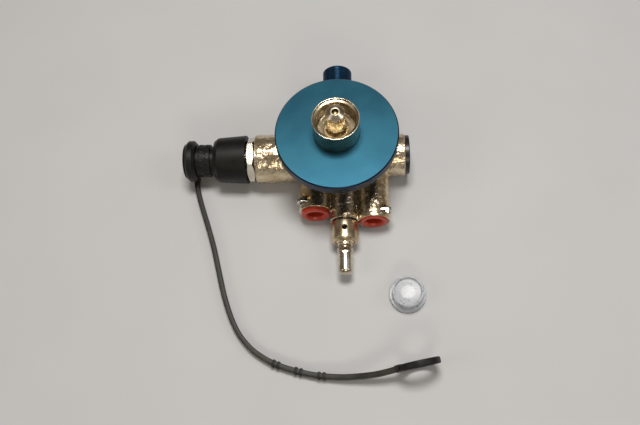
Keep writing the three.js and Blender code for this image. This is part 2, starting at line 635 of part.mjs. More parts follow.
add(inlet, 'inlet_spring', coilSpring(
  inletHeadRadius - 0.9, 0.45, inletPlug + 2.2 + GAP, inletHead - GAP, 6), steel);

// ---------------------------------------------------------------- dust cap and tether

// The cap is one rubber moulding; its inside follows the nipple at a clearance.
const capSkirtEndRadius = CAP_SKIRT_RADIUS - CAP_SKIRT_TAPER;
const capConeFoot = NIPPLE_SHOULDER + CAP_CLEARANCE;
const capTipRadius = NIPPLE_TIP_RADIUS + CAP_CLEARANCE;
add(inlet, 'dust_cap', turned(
  [[0, NIPPLE_TIP + CAP_TIP_ROOM], [capTipRadius, NIPPLE_TIP + CAP_TIP_ROOM],
    [capTipRadius, capConeFoot + nippleCone],
    [NIPPLE_RADIUS + CAP_CLEARANCE, capConeFoot], [NIPPLE_RADIUS + CAP_CLEARANCE, CAP_OPEN],
    [CAP_SKIRT_RADIUS - 0.4, CAP_OPEN], [CAP_SKIRT_RADIUS, CAP_OPEN + 0.5],
    [capSkirtEndRadius, CAP_SHOULDER - CAP_SHOULDER_SLOPE], [CAP_SHOULDER_RADIUS, CAP_SHOULDER],
    [CAP_GROOVE_RADIUS, CAP_SHOULDER], [CAP_GROOVE_RADIUS, CAP_NECK], [CAP_NECK_RADIUS, CAP_NECK],
    [CAP_NECK_RADIUS, CAP_SEAT], [CAP_SEAT_RADIUS, CAP_SEAT], [CAP_SEAT_RADIUS, CAP_HEAD],
    [CAP_HEAD_RADIUS - 0.4, CAP_HEAD], [CAP_HEAD_RADIUS - 0.9, (CAP_HEAD + CAP_END) / 2],
    [CAP_HEAD_RADIUS - 3.5, CAP_END - 0.2], [0, CAP_END]], FINE), blackRubber);

// A ring round the cap's head, with a root below it that the strap runs out of.
const tetherX = BARREL_LEFT_X - (CAP_SEAT + CAP_HEAD) / 2;
function tetherCollar() {
  const inner = CAP_SEAT_RADIUS + GAP;
  const [near, far] = [CAP_SEAT + GAP, CAP_HEAD - GAP];
  const shoulder = TETHER_RING_RADIUS - TETHER_RING_CHAMFER;
  const ring = standing(inlet, turned(
    [[inner, near], [shoulder, near], [TETHER_RING_RADIUS, near + TETHER_RING_CHAMFER],
      [TETHER_RING_RADIUS, far - TETHER_RING_CHAMFER], [shoulder, far], [inner, far]], ROUND));
  const rootFoot = STRAP_REST_Z - STRAP_HEIGHT / 2;
  const rootTop = MAIN_AXIS_Z - 0.6 * TETHER_RING_RADIUS;
  const root = new THREE.BoxGeometry(STRAP_THICKNESS, STRAP_ROOT_LENGTH, rootTop - rootFoot)
    .translate(tetherX, STRAP_FOOT_Y + GAP + STRAP_ROOT_LENGTH / 2, (rootTop + rootFoot) / 2);
  const inside = standing(inlet, rod(inner, CAP_SEAT, CAP_HEAD, ROUND));
  return join(ring, cut(root, inside));
}
add(upright, 'tether_collar', tetherCollar(), blackRubber);

// The strap lies on its edge on the ground and rises to the middle of the standing loop. Its
// far half keeps its place, and the near half follows the collar that it starts from.
const STRAP_ROUTE = [
  [-77.3, STRAP_FOOT_Y], [-76.2, -13], [-73.9, -21], [-69.8, -33.2], [-66.1, -45.1],
  [-62.8, -58], [-59.6, -70.4], [-55.6, -82], [-50.9, -91.2], [-44.6, -98.6], [-38.7, -103],
  [-32.8, -106.2], [-26.3, -108.6], [-21, -110.1], [-15.4, -111.5, 2.4], [-9.7, -112.4, 2.7],
  [-1, -113.2, 3.6], [7, -113.2, 5.1], [15, -112.8, 7.2], [20.6, -112, 9], [25.6, -110.9, 10.4],
];
const strapDrift = tetherX - STRAP_ROUTE[0][0];
const strapCourse = STRAP_ROUTE.map(([x, y, z = STRAP_REST_Z], index) => {
  const share = Math.max(0, 1 - (2 * index) / STRAP_ROUTE.length);
  return new THREE.Vector3(x + share * strapDrift, y, z);
});
const strapSection = new THREE.Shape();
const [halfHeight, halfThickness, corner] = [STRAP_HEIGHT / 2, STRAP_THICKNESS / 2, 0.4];
strapSection.moveTo(-halfHeight + corner, -halfThickness);
for (const [along, across] of [
  [halfHeight - corner, -halfThickness], [halfHeight, -halfThickness + corner],
  [halfHeight, halfThickness - corner], [halfHeight - corner, halfThickness],
  [-halfHeight + corner, halfThickness], [-halfHeight, halfThickness - corner],
  [-halfHeight, -halfThickness + corner],
]) strapSection.lineTo(along, across);
add(upright, 'tether_strap', new THREE.ExtrudeGeometry(strapSection, {
  extrudePath: new THREE.CatmullRomCurve3(strapCourse),
  steps: 44,
}), strapRubber);

const loopShape = new THREE.Shape().absarc(0, 0, LOOP_RADIUS, 0, 2 * Math.PI);
loopShape.holes.push(new THREE.Path().absarc(0, 0, LOOP_HOLE_RADIUS, 0, 2 * Math.PI, true));
const loop = new THREE.ExtrudeGeometry(loopShape, {
  depth: LOOP_THICKNESS, bevelEnabled: false, curveSegments: SMALL,
})
  .translate(0, 0, -LOOP_THICKNESS / 2).rotateX(Math.PI / 2 + LOOP_LEAN).rotateZ(LOOP_TURN)
  .translate(...LOOP_CENTRE);
add(upright, 'tether_loop', loop, blackRubber);

// ---------------------------------------------------------------- vent fitting and plunger

const ventEnd = VENT_GAP_Y + VENT_LENGTH;
const chamberFloor = VENT_GAP_Y + VENT_CHAMBER_FLOOR;
const glandFoot = ventEnd - GLAND_THICKNESS;
const neckEnd = ventEnd + VENT_NECK_LENGTH;
const beadFrom = neckEnd + PLUNGER_TRAVEL + GAP;
const beadTo = beadFrom + PLUNGER_BEAD_LENGTH;
const noseEnd = beadTo + PLUNGER_NOSE_LENGTH;
const crossHole = (beadFrom + beadTo) / 2;

function ventBody() {
  const shell = turned(
    [[VENT_PASSAGE_RADIUS, -VENT_THREAD_LENGTH], [VENT_THREAD_RADIUS, -VENT_THREAD_LENGTH],
      [VENT_THREAD_RADIUS, VENT_GAP_Y], [VENT_RADIUS - 0.2, VENT_GAP_Y],
      [VENT_RADIUS, VENT_GAP_Y + 0.2], [VENT_RADIUS, ventEnd - VENT_END_CHAMFER],
      [VENT_RADIUS - VENT_END_CHAMFER, ventEnd],
      [VENT_CHAMBER_RADIUS, ventEnd], [VENT_CHAMBER_RADIUS, chamberFloor],
      [VENT_PASSAGE_RADIUS, chamberFloor]], ROUND);
  const hole = new THREE.CylinderGeometry(
    VENT_HOLE_RADIUS, VENT_HOLE_RADIUS, VENT_RADIUS, SMALL,
  ).translate(0, VENT_RADIUS, VENT_GAP_Y + VENT_HOLE_SETBACK);
  return cut(shell, hole);
}
add(ventPort, 'vent_body', ventBody(), brightNickel);
const ventSealRadius = Math.min(VENT_RADIUS, centreBossRadius) - VENT_SEAL_INSET;
add(ventPort, 'vent_seal', oRing(
  ventSealRadius, VENT_SEAL_SECTION, VENT_GAP_Y / 2, ROUND), sealRubber);
add(ventPort, 'vent_gland', turned(
  [[PLUNGER_STEM_RADIUS + GAP, glandFoot], [VENT_CHAMBER_RADIUS - GAP, glandFoot],
    [VENT_CHAMBER_RADIUS - GAP, ventEnd - 0.1], [VENT_NECK_RADIUS, ventEnd + 0.3],
    [VENT_NECK_RADIUS, neckEnd], [PLUNGER_STEM_RADIUS + GAP, neckEnd]], ROUND), brightNickel);

function plunger() {
  const guide = glandFoot - GAP;
  const body = turned(
    [[0, chamberFloor + 2], [VENT_PASSAGE_RADIUS, chamberFloor + 2],
      [VENT_PASSAGE_RADIUS, guide - 1.1], [VENT_CHAMBER_RADIUS - 0.6, guide - 1.1],
      [VENT_CHAMBER_RADIUS - 0.6, guide], [PLUNGER_STEM_RADIUS, guide],
      [PLUNGER_STEM_RADIUS, beadFrom], [PLUNGER_RADIUS, beadFrom],
      [PLUNGER_BEAD_RADIUS, beadFrom + 0.6], [PLUNGER_BEAD_RADIUS, beadTo - 0.6],
      [PLUNGER_RADIUS, beadTo], [PLUNGER_RADIUS, noseEnd - 1.8], [PLUNGER_RADIUS - 0.5, noseEnd - 0.7],
      [PLUNGER_RADIUS - 1.6, noseEnd - 0.1], [0, noseEnd]], ROUND);
  const hole = new THREE.CylinderGeometry(
    CROSS_HOLE_RADIUS, CROSS_HOLE_RADIUS, 4 * PLUNGER_RADIUS, SMALL,
  ).translate(0, 2 * PLUNGER_RADIUS - CROSS_HOLE_FLOOR, crossHole);
  return cut(body, hole);
}
add(ventPort, 'plunger', plunger(), brightNickel);
add(ventPort, 'plunger_spring', coilSpring(
  VENT_CHAMBER_RADIUS - 1.9, 0.4, chamberFloor + GAP, glandFoot - 2 * GAP - 1.1, 3), steel);

// ---------------------------------------------------------------- flow adjustment

const bonnetHexFrom = WASHER_THICKNESS + 2 * GAP;
const bonnetHexTo = bonnetHexFrom + BONNET_HEX_LENGTH;
const bonnetEnd = bonnetHexTo + BONNET_NECK_LENGTH;
const needleBoreRadius = NEEDLE_RADIUS + GAP;
const stemSealAt = bonnetHexFrom + 2;
const circlipAt = (KNOB_START + bonnetEnd) / 2;
const driveFrom = bonnetEnd + 4;
const driveTo = driveFrom + NEEDLE_DRIVE_LENGTH;

add(rear, 'needle_seat', turned(
  [[SEAT_HOLE_RADIUS, seatTop - SEAT_THICKNESS], [SEAT_RADIUS - GAP, seatTop - SEAT_THICKNESS],
    [SEAT_RADIUS - GAP, seatTop], [SEAT_HOLE_RADIUS + 0.6, seatTop],
    [SEAT_HOLE_RADIUS, seatTop - 0.8]], SMALL), brass);
add(rear, 'bonnet_washer', turned(
  [[BONNET_THREAD_RADIUS + GAP, GAP], [BONNET_HEX_ACROSS_FLATS / 2, GAP],
    [BONNET_HEX_ACROSS_FLATS / 2, GAP + WASHER_THICKNESS],
    [BONNET_THREAD_RADIUS + GAP, GAP + WASHER_THICKNESS]], SMALL), sealRubber);

function bonnet() {
  const outside = turned(
    [[0, -BONNET_THREAD_LENGTH], [BONNET_THREAD_RADIUS, -BONNET_THREAD_LENGTH],
      [BONNET_THREAD_RADIUS, bonnetHexFrom + 1], [BONNET_NECK_RADIUS, bonnetHexFrom + 1],
      [BONNET_NECK_RADIUS, circlipAt - 0.6], [BONNET_NECK_RADIUS - 0.5, circlipAt - 0.6],
      [BONNET_NECK_RADIUS - 0.5, circlipAt + 0.6], [BONNET_NECK_RADIUS, circlipAt + 0.6],
      [BONNET_NECK_RADIUS, bonnetEnd], [0, bonnetEnd]], ROUND);
  const bore = turned(
    [[0, -BONNET_THREAD_LENGTH - 1], [needleBoreRadius, -BONNET_THREAD_LENGTH - 1],
      [needleBoreRadius, stemSealAt - 0.7], [needleBoreRadius + 1.3, stemSealAt - 0.7],
      [needleBoreRadius + 1.3, stemSealAt + 0.7], [needleBoreRadius, stemSealAt + 0.7],
      [needleBoreRadius, bonnetEnd + 1], [0, bonnetEnd + 1]], SMALL);
  return cut(
    join(outside, hexBar(BONNET_HEX_ACROSS_FLATS, bonnetHexFrom, bonnetHexTo, ROUND)), bore);
}
add(rear, 'bonnet', bonnet(), nickel);
add(rear, 'stem_seal', oRing(needleBoreRadius + 0.65, 0.5, stemSealAt, SMALL), sealRubber);
add(rear, 'knob_circlip', oRing(BONNET_NECK_RADIUS + 0.2, 0.35, circlipAt, ROUND), steel);

function needle() {
  const pointFrom = seatTop - 0.3;
  const stem = turned(
    [[0, pointFrom], [SEAT_HOLE_RADIUS - 0.4, pointFrom],
      [NEEDLE_RADIUS, pointFrom + NEEDLE_POINT_LENGTH], [NEEDLE_RADIUS, driveFrom + 1],
      [0, driveFrom + 1]], SMALL);
  return join(stem, hexBar(NEEDLE_DRIVE_ACROSS_FLATS, driveFrom, driveTo, SMALL));
}
add(rear, 'needle', needle(), steel);

// A sleeve over the bonnet, closed at its outer end, with a hexagonal drive bore.
function knob() {
  const outside = turned(
    [[0, KNOB_START], [KNOB_RADIUS - KNOB_CHAMFER / 2, KNOB_START],
      [KNOB_RADIUS, KNOB_START + KNOB_CHAMFER / 2], [KNOB_RADIUS, KNOB_END - KNOB_CHAMFER],
      [KNOB_RADIUS - KNOB_CHAMFER, KNOB_END], [0, KNOB_END]], ROUND);
  const cavityRadius = BONNET_NECK_RADIUS + 2 * GAP;
  const cavity = turned(
    [[0, KNOB_START - 1], [cavityRadius, KNOB_START - 1], [cavityRadius, circlipAt - 0.6],
      [cavityRadius + 0.4, circlipAt - 0.6], [cavityRadius + 0.4, circlipAt + 0.6],
      [cavityRadius, circlipAt + 0.6], [cavityRadius, bonnetEnd + 2 * GAP],
      [0, bonnetEnd + 2 * GAP]], ROUND);
  const drive = hexBar(
    NEEDLE_DRIVE_ACROSS_FLATS + 2 * GAP, bonnetEnd, driveTo + NEEDLE_TRAVEL + GAP, SMALL);
  return cut(outside, cavity, drive);
}
add(rear, 'adjusting_knob', knob(), navy);

// ---------------------------------------------------------------- loose port plug

const plugBoreRadius = PLUG_RADIUS - PLUG_WALL;
const plugFloor = PLUG_HEIGHT - PLUG_RECESS;
add(upright, 'port_plug', turned(
  [[0, plugFloor - PLUG_WALL], [plugBoreRadius, plugFloor - PLUG_WALL],
    [plugBoreRadius, 0.02], [PLUG_BRIM_RADIUS, 0.02], [PLUG_BRIM_RADIUS, PLUG_BRIM_HEIGHT - 0.4],
    [PLUG_BRIM_RADIUS - 0.4, PLUG_BRIM_HEIGHT], [PLUG_RADIUS, PLUG_BRIM_HEIGHT],
    [PLUG_RADIUS, PLUG_HEIGHT], [plugBoreRadius + 0.1, PLUG_HEIGHT],
    [plugBoreRadius - 0.2, plugFloor], [0, plugFloor]], ROUND,
).translate(PLUG_X, PLUG_Y, 0), clearPlastic);

export default valve;
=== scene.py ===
"""Flow control valve: the finished model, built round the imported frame."""

import json
import math

import bmesh
import bpy
from mathutils import Matrix, Vector


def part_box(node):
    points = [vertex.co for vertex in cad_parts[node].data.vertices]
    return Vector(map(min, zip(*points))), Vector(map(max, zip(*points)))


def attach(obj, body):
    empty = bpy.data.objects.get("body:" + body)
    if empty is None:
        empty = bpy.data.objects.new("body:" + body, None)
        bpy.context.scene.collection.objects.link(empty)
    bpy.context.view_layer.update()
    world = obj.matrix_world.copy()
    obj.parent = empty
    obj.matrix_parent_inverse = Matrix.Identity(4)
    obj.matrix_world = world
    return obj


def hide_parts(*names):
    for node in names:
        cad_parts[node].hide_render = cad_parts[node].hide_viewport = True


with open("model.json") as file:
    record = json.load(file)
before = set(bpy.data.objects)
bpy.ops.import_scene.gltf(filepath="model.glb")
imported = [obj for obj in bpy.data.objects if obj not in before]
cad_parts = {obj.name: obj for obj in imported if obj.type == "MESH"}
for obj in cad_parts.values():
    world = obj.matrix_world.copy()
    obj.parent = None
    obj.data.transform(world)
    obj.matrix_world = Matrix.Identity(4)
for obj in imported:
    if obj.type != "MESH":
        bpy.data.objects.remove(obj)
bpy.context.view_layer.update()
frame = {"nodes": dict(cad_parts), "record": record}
RECORD = frame["record"]
MM = 0.001

# ---------------------------------------------------------------- the viewing angle
# A camera high above the front of the valve, turned a little and held slightly askew.
# It is placed from the centre of the flange's top face.

CAMERA_ELEVATION = math.radians(67.07)
CAMERA_SWING = math.radians(8.02)
CAMERA_ROLL = math.radians(8.96)
CAMERA_DISTANCE = 344.1 * MM
CAMERA_RIGHT = -8.13 * MM
CAMERA_UP = -39.81 * MM
CAMERA_LENS_MM = 39.375
CAMERA_SENSOR_MM = 36
CAMERA_NEAR, CAMERA_FAR = 10 * MM, 20


def camera_at(target):
    swing = Matrix.Rotation(CAMERA_SWING, 3, "Z")
    back = swing @ Vector((0, -math.cos(CAMERA_ELEVATION), math.sin(CAMERA_ELEVATION)))
    level_up = swing @ Vector((0, math.sin(CAMERA_ELEVATION), math.cos(CAMERA_ELEVATION)))
    level_right = swing @ Vector((1, 0, 0))
    right = level_right * math.cos(CAMERA_ROLL) - level_up * math.sin(CAMERA_ROLL)
    up = level_right * math.sin(CAMERA_ROLL) + level_up * math.cos(CAMERA_ROLL)
    data = bpy.data.cameras.new("camera")
    data.lens = CAMERA_LENS_MM
    data.sensor_width = CAMERA_SENSOR_MM
    data.clip_start, data.clip_end = CAMERA_NEAR, CAMERA_FAR
    camera = bpy.data.objects.new("camera", data)
    bpy.context.scene.collection.objects.link(camera)
    place = target + right * CAMERA_RIGHT + up * CAMERA_UP + back * CAMERA_DISTANCE
    turn = Matrix((right, up, back)).transposed().to_4x4()
    camera.matrix_world = Matrix.Translation(place) @ turn
    bpy.context.scene.camera = camera


FLANGE_LOW, FLANGE_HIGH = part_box("top_flange")
camera_at(Vector((0, 0, FLANGE_HIGH.z)))

# ---------------------------------------------------------------- shader and node trees
# Every finish and every patterned piece below is a node tree, written as Python expressions.


class Socket:
    """An output socket. Python's arithmetic on it adds Math nodes to its tree."""

    def __init__(self, tree, socket):
        self.tree, self.socket = tree, socket

    def math(self, operation, *others):
        values = dict(enumerate((self, *others)))
        return self.tree.add("ShaderNodeMath", {"operation": operation}, values)[0]

    def __add__(self, other):
        return self.math("ADD", other)

    def __sub__(self, other):
        return self.math("SUBTRACT", other)

    def __rsub__(self, other):
        return self * -1 + other

    def __mul__(self, other):
        return self.math("MULTIPLY", other)

    def __truediv__(self, other):
        return self.math("DIVIDE", other)

    __radd__ = __add__
    __rmul__ = __mul__

    def ramp(self, low, high):
        values = {"Value": self, 1: low, 2: high}
        settings = {"interpolation_type": "SMOOTHSTEP"}
        return self.tree.add("ShaderNodeMapRange", settings, values)["Result"]


class Node:
    """A node whose outputs are read by name or number."""

    def __init__(self, tree, node):
        self.tree, self.node = tree, node

    def __getitem__(self, output):
        return Socket(self.tree, self.node.outputs[output])


class Tree:
    """A node tree. add() takes a node's type, its settings, then the values of its sockets."""

    def __init__(self, tree):
        self.tree = tree

    def add(self, kind, settings=None, values=None):
        node = self.tree.nodes.new(kind)
        for name, value in (settings or {}).items():
            setattr(node, name, value)
        for key, value in (values or {}).items():
            self.feed(node.inputs[key], value)
        return Node(self, node)

    def feed(self, entry, value):
        if isinstance(value, Socket):
            self.tree.links.new(value.socket, entry)
        else:
            entry.default_value = value


class Finish(Tree):
    """A material with one Principled shader, patterned on Object coordinates."""

    def __init__(self, name, **constants):
        self.material = bpy.data.materials.new(name)
        self.material.use_nodes = True
        self.material.node_tree.nodes.clear()
        super().__init__(self.material.node_tree)
        self.shader = self.add("ShaderNodeBsdfPrincipled")
        self.add("ShaderNodeOutputMaterial", values={"Surface": self.shader["BSDF"]})
        self.place = self.add("ShaderNodeTexCoord")["Object"]
        self.set(**constants)

    def set(self, **values):
        for name, value in values.items():
            self.feed(self.shader.node.inputs[name.replace("_", " ")], value)

    def stretched(self, x, y, z):
        values = {0: self.place, 1: (x, y, z)}
        return self.add("ShaderNodeVectorMath", {"operation": "MULTIPLY"}, values)[0]

    def noise(self, size, detail=2.0, roughness=0.5, place=None):
        values = {
            "Vector": place or self.place,
            "Scale": 1 / size,
            "Detail": detail,
            "Roughness": roughness,
        }
        return self.add("ShaderNodeTexNoise", values=values)[0]

    def mix(self, factor, colour, other):
        values = {0: factor, 6: colour, 7: other}
        return self.add("ShaderNodeMix", {"data_type": "RGBA"}, values)[2]

    def surface(self, factor, dark, light, roughness, height, depth):
        """Sets a colour between two shades, the gloss and the relief. Gives the material."""
        relief = self.add("ShaderNodeBump", values={"Height": height, "Distance": depth, "Strength": 1.0})
        self.set(Base_Color=self.mix(factor, dark, light), Roughness=roughness, Normal=relief["Normal"])
        return self.material


def colour(red, green, blue):
    """A colour from its 0 to 255 display values."""
    linear = [((c / 255 + 0.055) / 1.055) ** 2.4 if c > 10 else c / 255 / 12.92
              for c in (red, green, blue)]
    return (*linear, 1.0)


# ---------------------------------------------------------------- floor and studio light
# A pale matt table, a large soft light overhead, and three weaker ones: left, right and front.

TABLE_SIZE = 3.0
LIGHT_TARGET = Vector((0, -0.02, 0.02))
SKY_COLOUR = (0.30, 0.25, 0.20, 1.0)
SKY_STRENGTH = 0.40


def stage_floor():
    mesh = bpy.data.meshes.new("table_top")
    half = TABLE_SIZE / 2
    corners = [(-half, -half, 0), (half, -half, 0), (half, half, 0), (-half, half, 0)]
    mesh.from_pydata(corners, [], [(0, 1, 2, 3)])
    table = bpy.data.objects.new("table_top", mesh)
    bpy.context.scene.collection.objects.link(table)
    pale = Finish("pale_table", Roughness=0.7)
    cloud = pale.noise(60 * MM, detail=3)
    pale.set(Base_Color=pale.mix(cloud, colour(186, 187, 189), colour(193, 194, 196)))
    mesh.materials.append(pale.material)


def soft_light(name, place, size, power, tint):
    data = bpy.data.lights.new(name, "AREA")
    data.shape = "RECTANGLE"
    data.size, data.size_y = size
    data.energy = power
    data.color = tint
    light = bpy.data.objects.new(name, data)
    light.location = place
    light.rotation_mode = "QUATERNION"
    light.rotation_quaternion = (LIGHT_TARGET - Vector(place)).to_track_quat("-Z", "Y")
    bpy.context.scene.collection.objects.link(light)


stage_floor()
soft_light("overhead", (0.02, 0.14, 0.85), (0.30, 0.22), 5.6, (1.0, 0.97, 0.92))
soft_light("left_fill", (-0.75, -0.30, 0.60), (0.35, 0.35), 1.1, (1.0, 0.95, 0.88))
soft_light("right_fill", (0.70, -0.10, 0.65), (0.25, 0.40), 1.1, (0.95, 0.97, 1.0))
soft_light("front_fill", (0.06, -0.62, 0.42), (0.30, 0.14), 0.9, (1.0, 0.93, 0.82))

world = bpy.data.worlds.new("studio")
world.use_nodes = True
bpy.context.scene.world = world
sky = Tree(world.node_tree)
sky.feed(world.node_tree.nodes["Background"].inputs["Color"], SKY_COLOUR)
sky.feed(world.node_tree.nodes["Background"].inputs["Strength"], SKY_STRENGTH)
bpy.context.scene.view_settings.view_transform = "Standard"

# ---------------------------------------------------------------- tether strap
# A flat strap of moulded rubber, 4 mm high and 2.5 mm thick. It leaves the cap's collar, lies on
# its edge on the table in one long curve, and rises to the middle of its end loop.

STRAP_HEIGHT = 4 * MM
STRAP_THICKNESS = 2.5 * MM
STRAP_EDGE = 0.45 * MM
STRAP_ROUTE = [
    (-77.3, -7.3, 2.3), (-76.2, -13, 2.3), (-73.9, -21, 2.3), (-69.8, -33.2, 2.3),
    (-66.1, -45.1, 2.3), (-62.8, -58, 2.3), (-59.6, -70.4, 2.3), (-55.6, -82, 2.3),
    (-50.9, -91.2, 2.3), (-44.6, -98.6, 2.3), (-38.7, -103, 2.3), (-32.8, -106.2, 2.3),
    (-26.3, -108.6, 2.3), (-21, -110.1, 2.3), (-15.4, -111.5, 2.4), (-9.7, -112.4, 2.7),
    (-1, -113.2, 3.6), (7, -113.2, 5.1), (15, -112.8, 7.2), (20.6, -112, 9),
    (25.6, -110.9, 10.4),
]
CORNER_STEPS = 4


def smooth_path(points, steps):
    """A Catmull-Rom line through the points, with steps points in each stretch."""
    points = [Vector(p) * MM for p in points]
    points = [2 * points[0] - points[1], *points, 2 * points[-1] - points[-2]]
    line = []
    for a, b, c, d in zip(points, points[1:], points[2:], points[3:]):
        for step in range(steps):
            t = step / steps
            line.append(0.5 * (2 * b + (c - a) * t + (2 * a - 5 * b + 4 * c - d) * t * t
                               + (3 * b - a - 3 * c + d) * t ** 3))
    return [*line, points[-2]]


def new_object(name, shape, *materials):
    """An object at the origin from a finished bmesh."""
    mesh = bpy.data.meshes.new(name)
    shape.to_mesh(mesh)
    shape.free()
    for material in materials:
        mesh.materials.append(material)
    piece = bpy.data.objects.new(name, mesh)
    bpy.context.scene.collection.objects.link(piece)
    return piece


def shade(piece, sharp_degrees=32):
    """Smooth shading with crisp edges where the surface turns sharply."""
    for face in piece.data.polygons:
        face.use_smooth = True
    piece.data.set_sharp_from_angle(angle=math.radians(sharp_degrees))
    return piece


def baked(piece):
    """The piece with its modifiers made part of its mesh."""
    graph = bpy.context.evaluated_depsgraph_get()
    old = piece.data
    piece.data = bpy.data.meshes.new_from_object(piece.evaluated_get(graph))
    piece.modifiers.clear()
    bpy.data.meshes.remove(old)
    piece.data.name = piece.name
    return piece


def rounded_rectangle(width, height, radius):
    outline = []
    centres = [(1, 1, 0), (-1, 1, 90), (-1, -1, 180), (1, -1, 270)]
    for side_x, side_y, start in centres:
        for step in range(CORNER_STEPS + 1):
            turn = math.radians(start + 90 * step / CORNER_STEPS)
            outline.append((side_x * (width / 2 - radius) + radius * math.cos(turn),
                            side_y * (height / 2 - radius) + radius * math.sin(turn)))
    return outline


def skinned(shape, rings):
    """Walls from each ring of vertices to the next, and a face over both ends."""
    for ring, following in zip(rings, rings[1:]):
        for i in range(len(ring)):
            j = (i + 1) % len(ring)
            shape.faces.new((ring[i], ring[j], following[j], following[i]))
    shape.faces.new(rings[0])
    shape.faces.new(rings[-1])
    bmesh.ops.recalc_face_normals(shape, faces=shape.faces)
    return shape


def swept(name, path, section, material, across=None):
    """A section of (sideways, upwards) points along a path, level unless across is given."""
    shape = bmesh.new()
    rings = []
    for here, before, after in zip(path, [path[0], *path], [*path[1:], path[-1]]):
        ahead = (after - before).normalized()
        sideways = across or ahead.cross(Vector((0, 0, 1))).normalized()
        upwards = sideways.cross(ahead)
        rings.append([shape.verts.new(here + sideways * x + upwards * y) for x, y in section])
    return shade(new_object(name, skinned(shape, rings), material))


def moulded_rubber(name, dark, light, roughness=0.5):
    """Rubber from a blasted mould: a fine grain, and a faint bloom in soft patches."""
    rubber = Finish(name, Specular_IOR_Level=0.32)
    bloom = rubber.noise(7 * MM, detail=3).ramp(0.35, 0.7)
    speck = rubber.noise(0.35 * MM, detail=3, roughness=0.65)
    return rubber.surface(bloom * 0.8 + speck * 0.2, dark, light,
                          speck * 0.18 + bloom * 0.06 + (roughness - 0.1),
                          speck + rubber.noise(2.5 * MM) * 0.8, 0.02 * MM)


strap_rubber = moulded_rubber("strap_rubber", colour(28, 28, 23), colour(50, 50, 41), roughness=0.45)
strap_path = smooth_path(STRAP_ROUTE, 8)
strap_length = sum((b - a).length for a, b in zip(strap_path, strap_path[1:]))
strap = swept("flat_strap", strap_path,
              rounded_rectangle(STRAP_THICKNESS, STRAP_HEIGHT, STRAP_EDGE), strap_rubber)
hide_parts("tether_strap")
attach(strap, "dust_cap")

# ---------------------------------------------------------------- bands on the strap
# Three pairs of thin raised bands are moulded on the strap, as stops for its loop.

BAND_PAIRS = 3
BAND_FIRST = 111.4 * MM
BAND_STEP = 11.5 * MM
BAND_LENGTH = 1.35 * MM
BAND_SPLIT = 2.5 * MM
BAND_STAND = 0.45 * MM
BAND_EDGE = 0.25 * MM

# The bands are near black, far darker than the strap: painted shade for the shadows beside each raised
# band.
band_rubber = moulded_rubber("band_rubber", colour(6, 6, 5), colour(11, 11, 10))


def geometry_tree(name, **sizes):
    """A Geometry Nodes tree with a Geometry input and output, and one float input per size."""
    tree = bpy.data.node_groups.new(name, "GeometryNodeTree")
    tree.interface.new_socket("Geometry", in_out="INPUT", socket_type="NodeSocketGeometry")
    for size in sizes:
        tree.interface.new_socket(size, in_out="INPUT", socket_type="NodeSocketFloat")
    tree.interface.new_socket("Geometry", in_out="OUTPUT", socket_type="NodeSocketGeometry")
    graph = Tree(tree)
    return graph, graph.add("NodeGroupInput"), graph.add("NodeGroupOutput")


def run_tree(piece, graph, sizes):
    """Sets the named sizes on a Geometry Nodes modifier, and makes its result the mesh."""
    modifier = piece.modifiers.new("shape", "NODES")
    modifier.node_group = graph.tree
    for item in graph.tree.interface.items_tree:
        if item.in_out == "INPUT" and item.name in sizes:
            modifier[item.identifier] = sizes[item.name]
    return baked(piece)


def vector(graph, x, y, z):
    return graph.add("ShaderNodeCombineXYZ", values={0: x, 1: y, 2: z})[0]


def set_on_points(graph, result, points, item, rotation, material):
    """Ends a tree: the item on every point, as real mesh with its material."""
    placed = graph.add("GeometryNodeInstanceOnPoints",
                       values={"Points": points, "Instance": item, "Rotation": rotation})[0]
    solid = graph.add("GeometryNodeRealizeInstances", values={0: placed})[0]
    coloured = graph.add("GeometryNodeSetMaterial",
                         values={"Geometry": solid, "Material": material})[0]
    graph.feed(result.node.inputs[0], coloured)


def set_blocks(graph, result, count, place, facing, size, material):
    """Ends a tree with a row of blocks. facing is (axis, pivot axis, direction)."""
    row = graph.add("GeometryNodeMeshLine", values={"Count": count})[0]
    points = graph.add("GeometryNodeSetPosition", values={"Geometry": row, "Position": place})[0]
    axis, pivot, direction = facing
    turn = graph.add("FunctionNodeAlignRotationToVector", {"axis": axis, "pivot_axis": pivot},
                     {"Vector": direction})[0]
    item = graph.add("GeometryNodeMeshCube", values={"Size": vector(graph, *size)})["Mesh"]
    set_on_points(graph, result, points, item, turn, material)


def edges_rounded(piece, radius, angle=30, sharp_degrees=32):
    """The piece with its edges rounded where the surface turns by more than the angle."""
    bevel = piece.modifiers.new("edges", "BEVEL")
    bevel.width, bevel.segments = radius, 2
    bevel.limit_method, bevel.angle_limit = "ANGLE", math.radians(angle)
    return shade(baked(piece), sharp_degrees)


def strap_bands():
    sizes = {"First": BAND_FIRST, "Step": BAND_STEP, "Length": BAND_LENGTH, "Split": BAND_SPLIT,
             "Width": STRAP_THICKNESS + 2 * BAND_STAND, "Height": STRAP_HEIGHT + BAND_STAND}
    graph, given, result = geometry_tree("strap_bands", **sizes)
    line = graph.add("GeometryNodeMeshToCurve", values={0: given["Geometry"]})[0]
    index = graph.add("GeometryNodeInputIndex")[0]
    pair = (index / 2).math("FLOOR")
    second = index - pair * 2
    along = given["First"] + pair * given["Step"] + second * given["Split"]
    sample = graph.add("GeometryNodeSampleCurve", {"mode": "LENGTH"}, {"Curves": line, "Length": along})
    set_blocks(graph, result, 2 * BAND_PAIRS, sample["Position"], ("X", "Z", sample["Tangent"]),
               (given["Length"], given["Width"], given["Height"]), band_rubber)
    shape = bmesh.new()
    verts = [shape.verts.new(p) for p in strap_path]
    for a, b in zip(verts, verts[1:]):
        shape.edges.new((a, b))
    return edges_rounded(run_tree(new_object("strap_bands", shape), graph, sizes), BAND_EDGE)


bands = strap_bands()
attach(bands, "dust_cap")

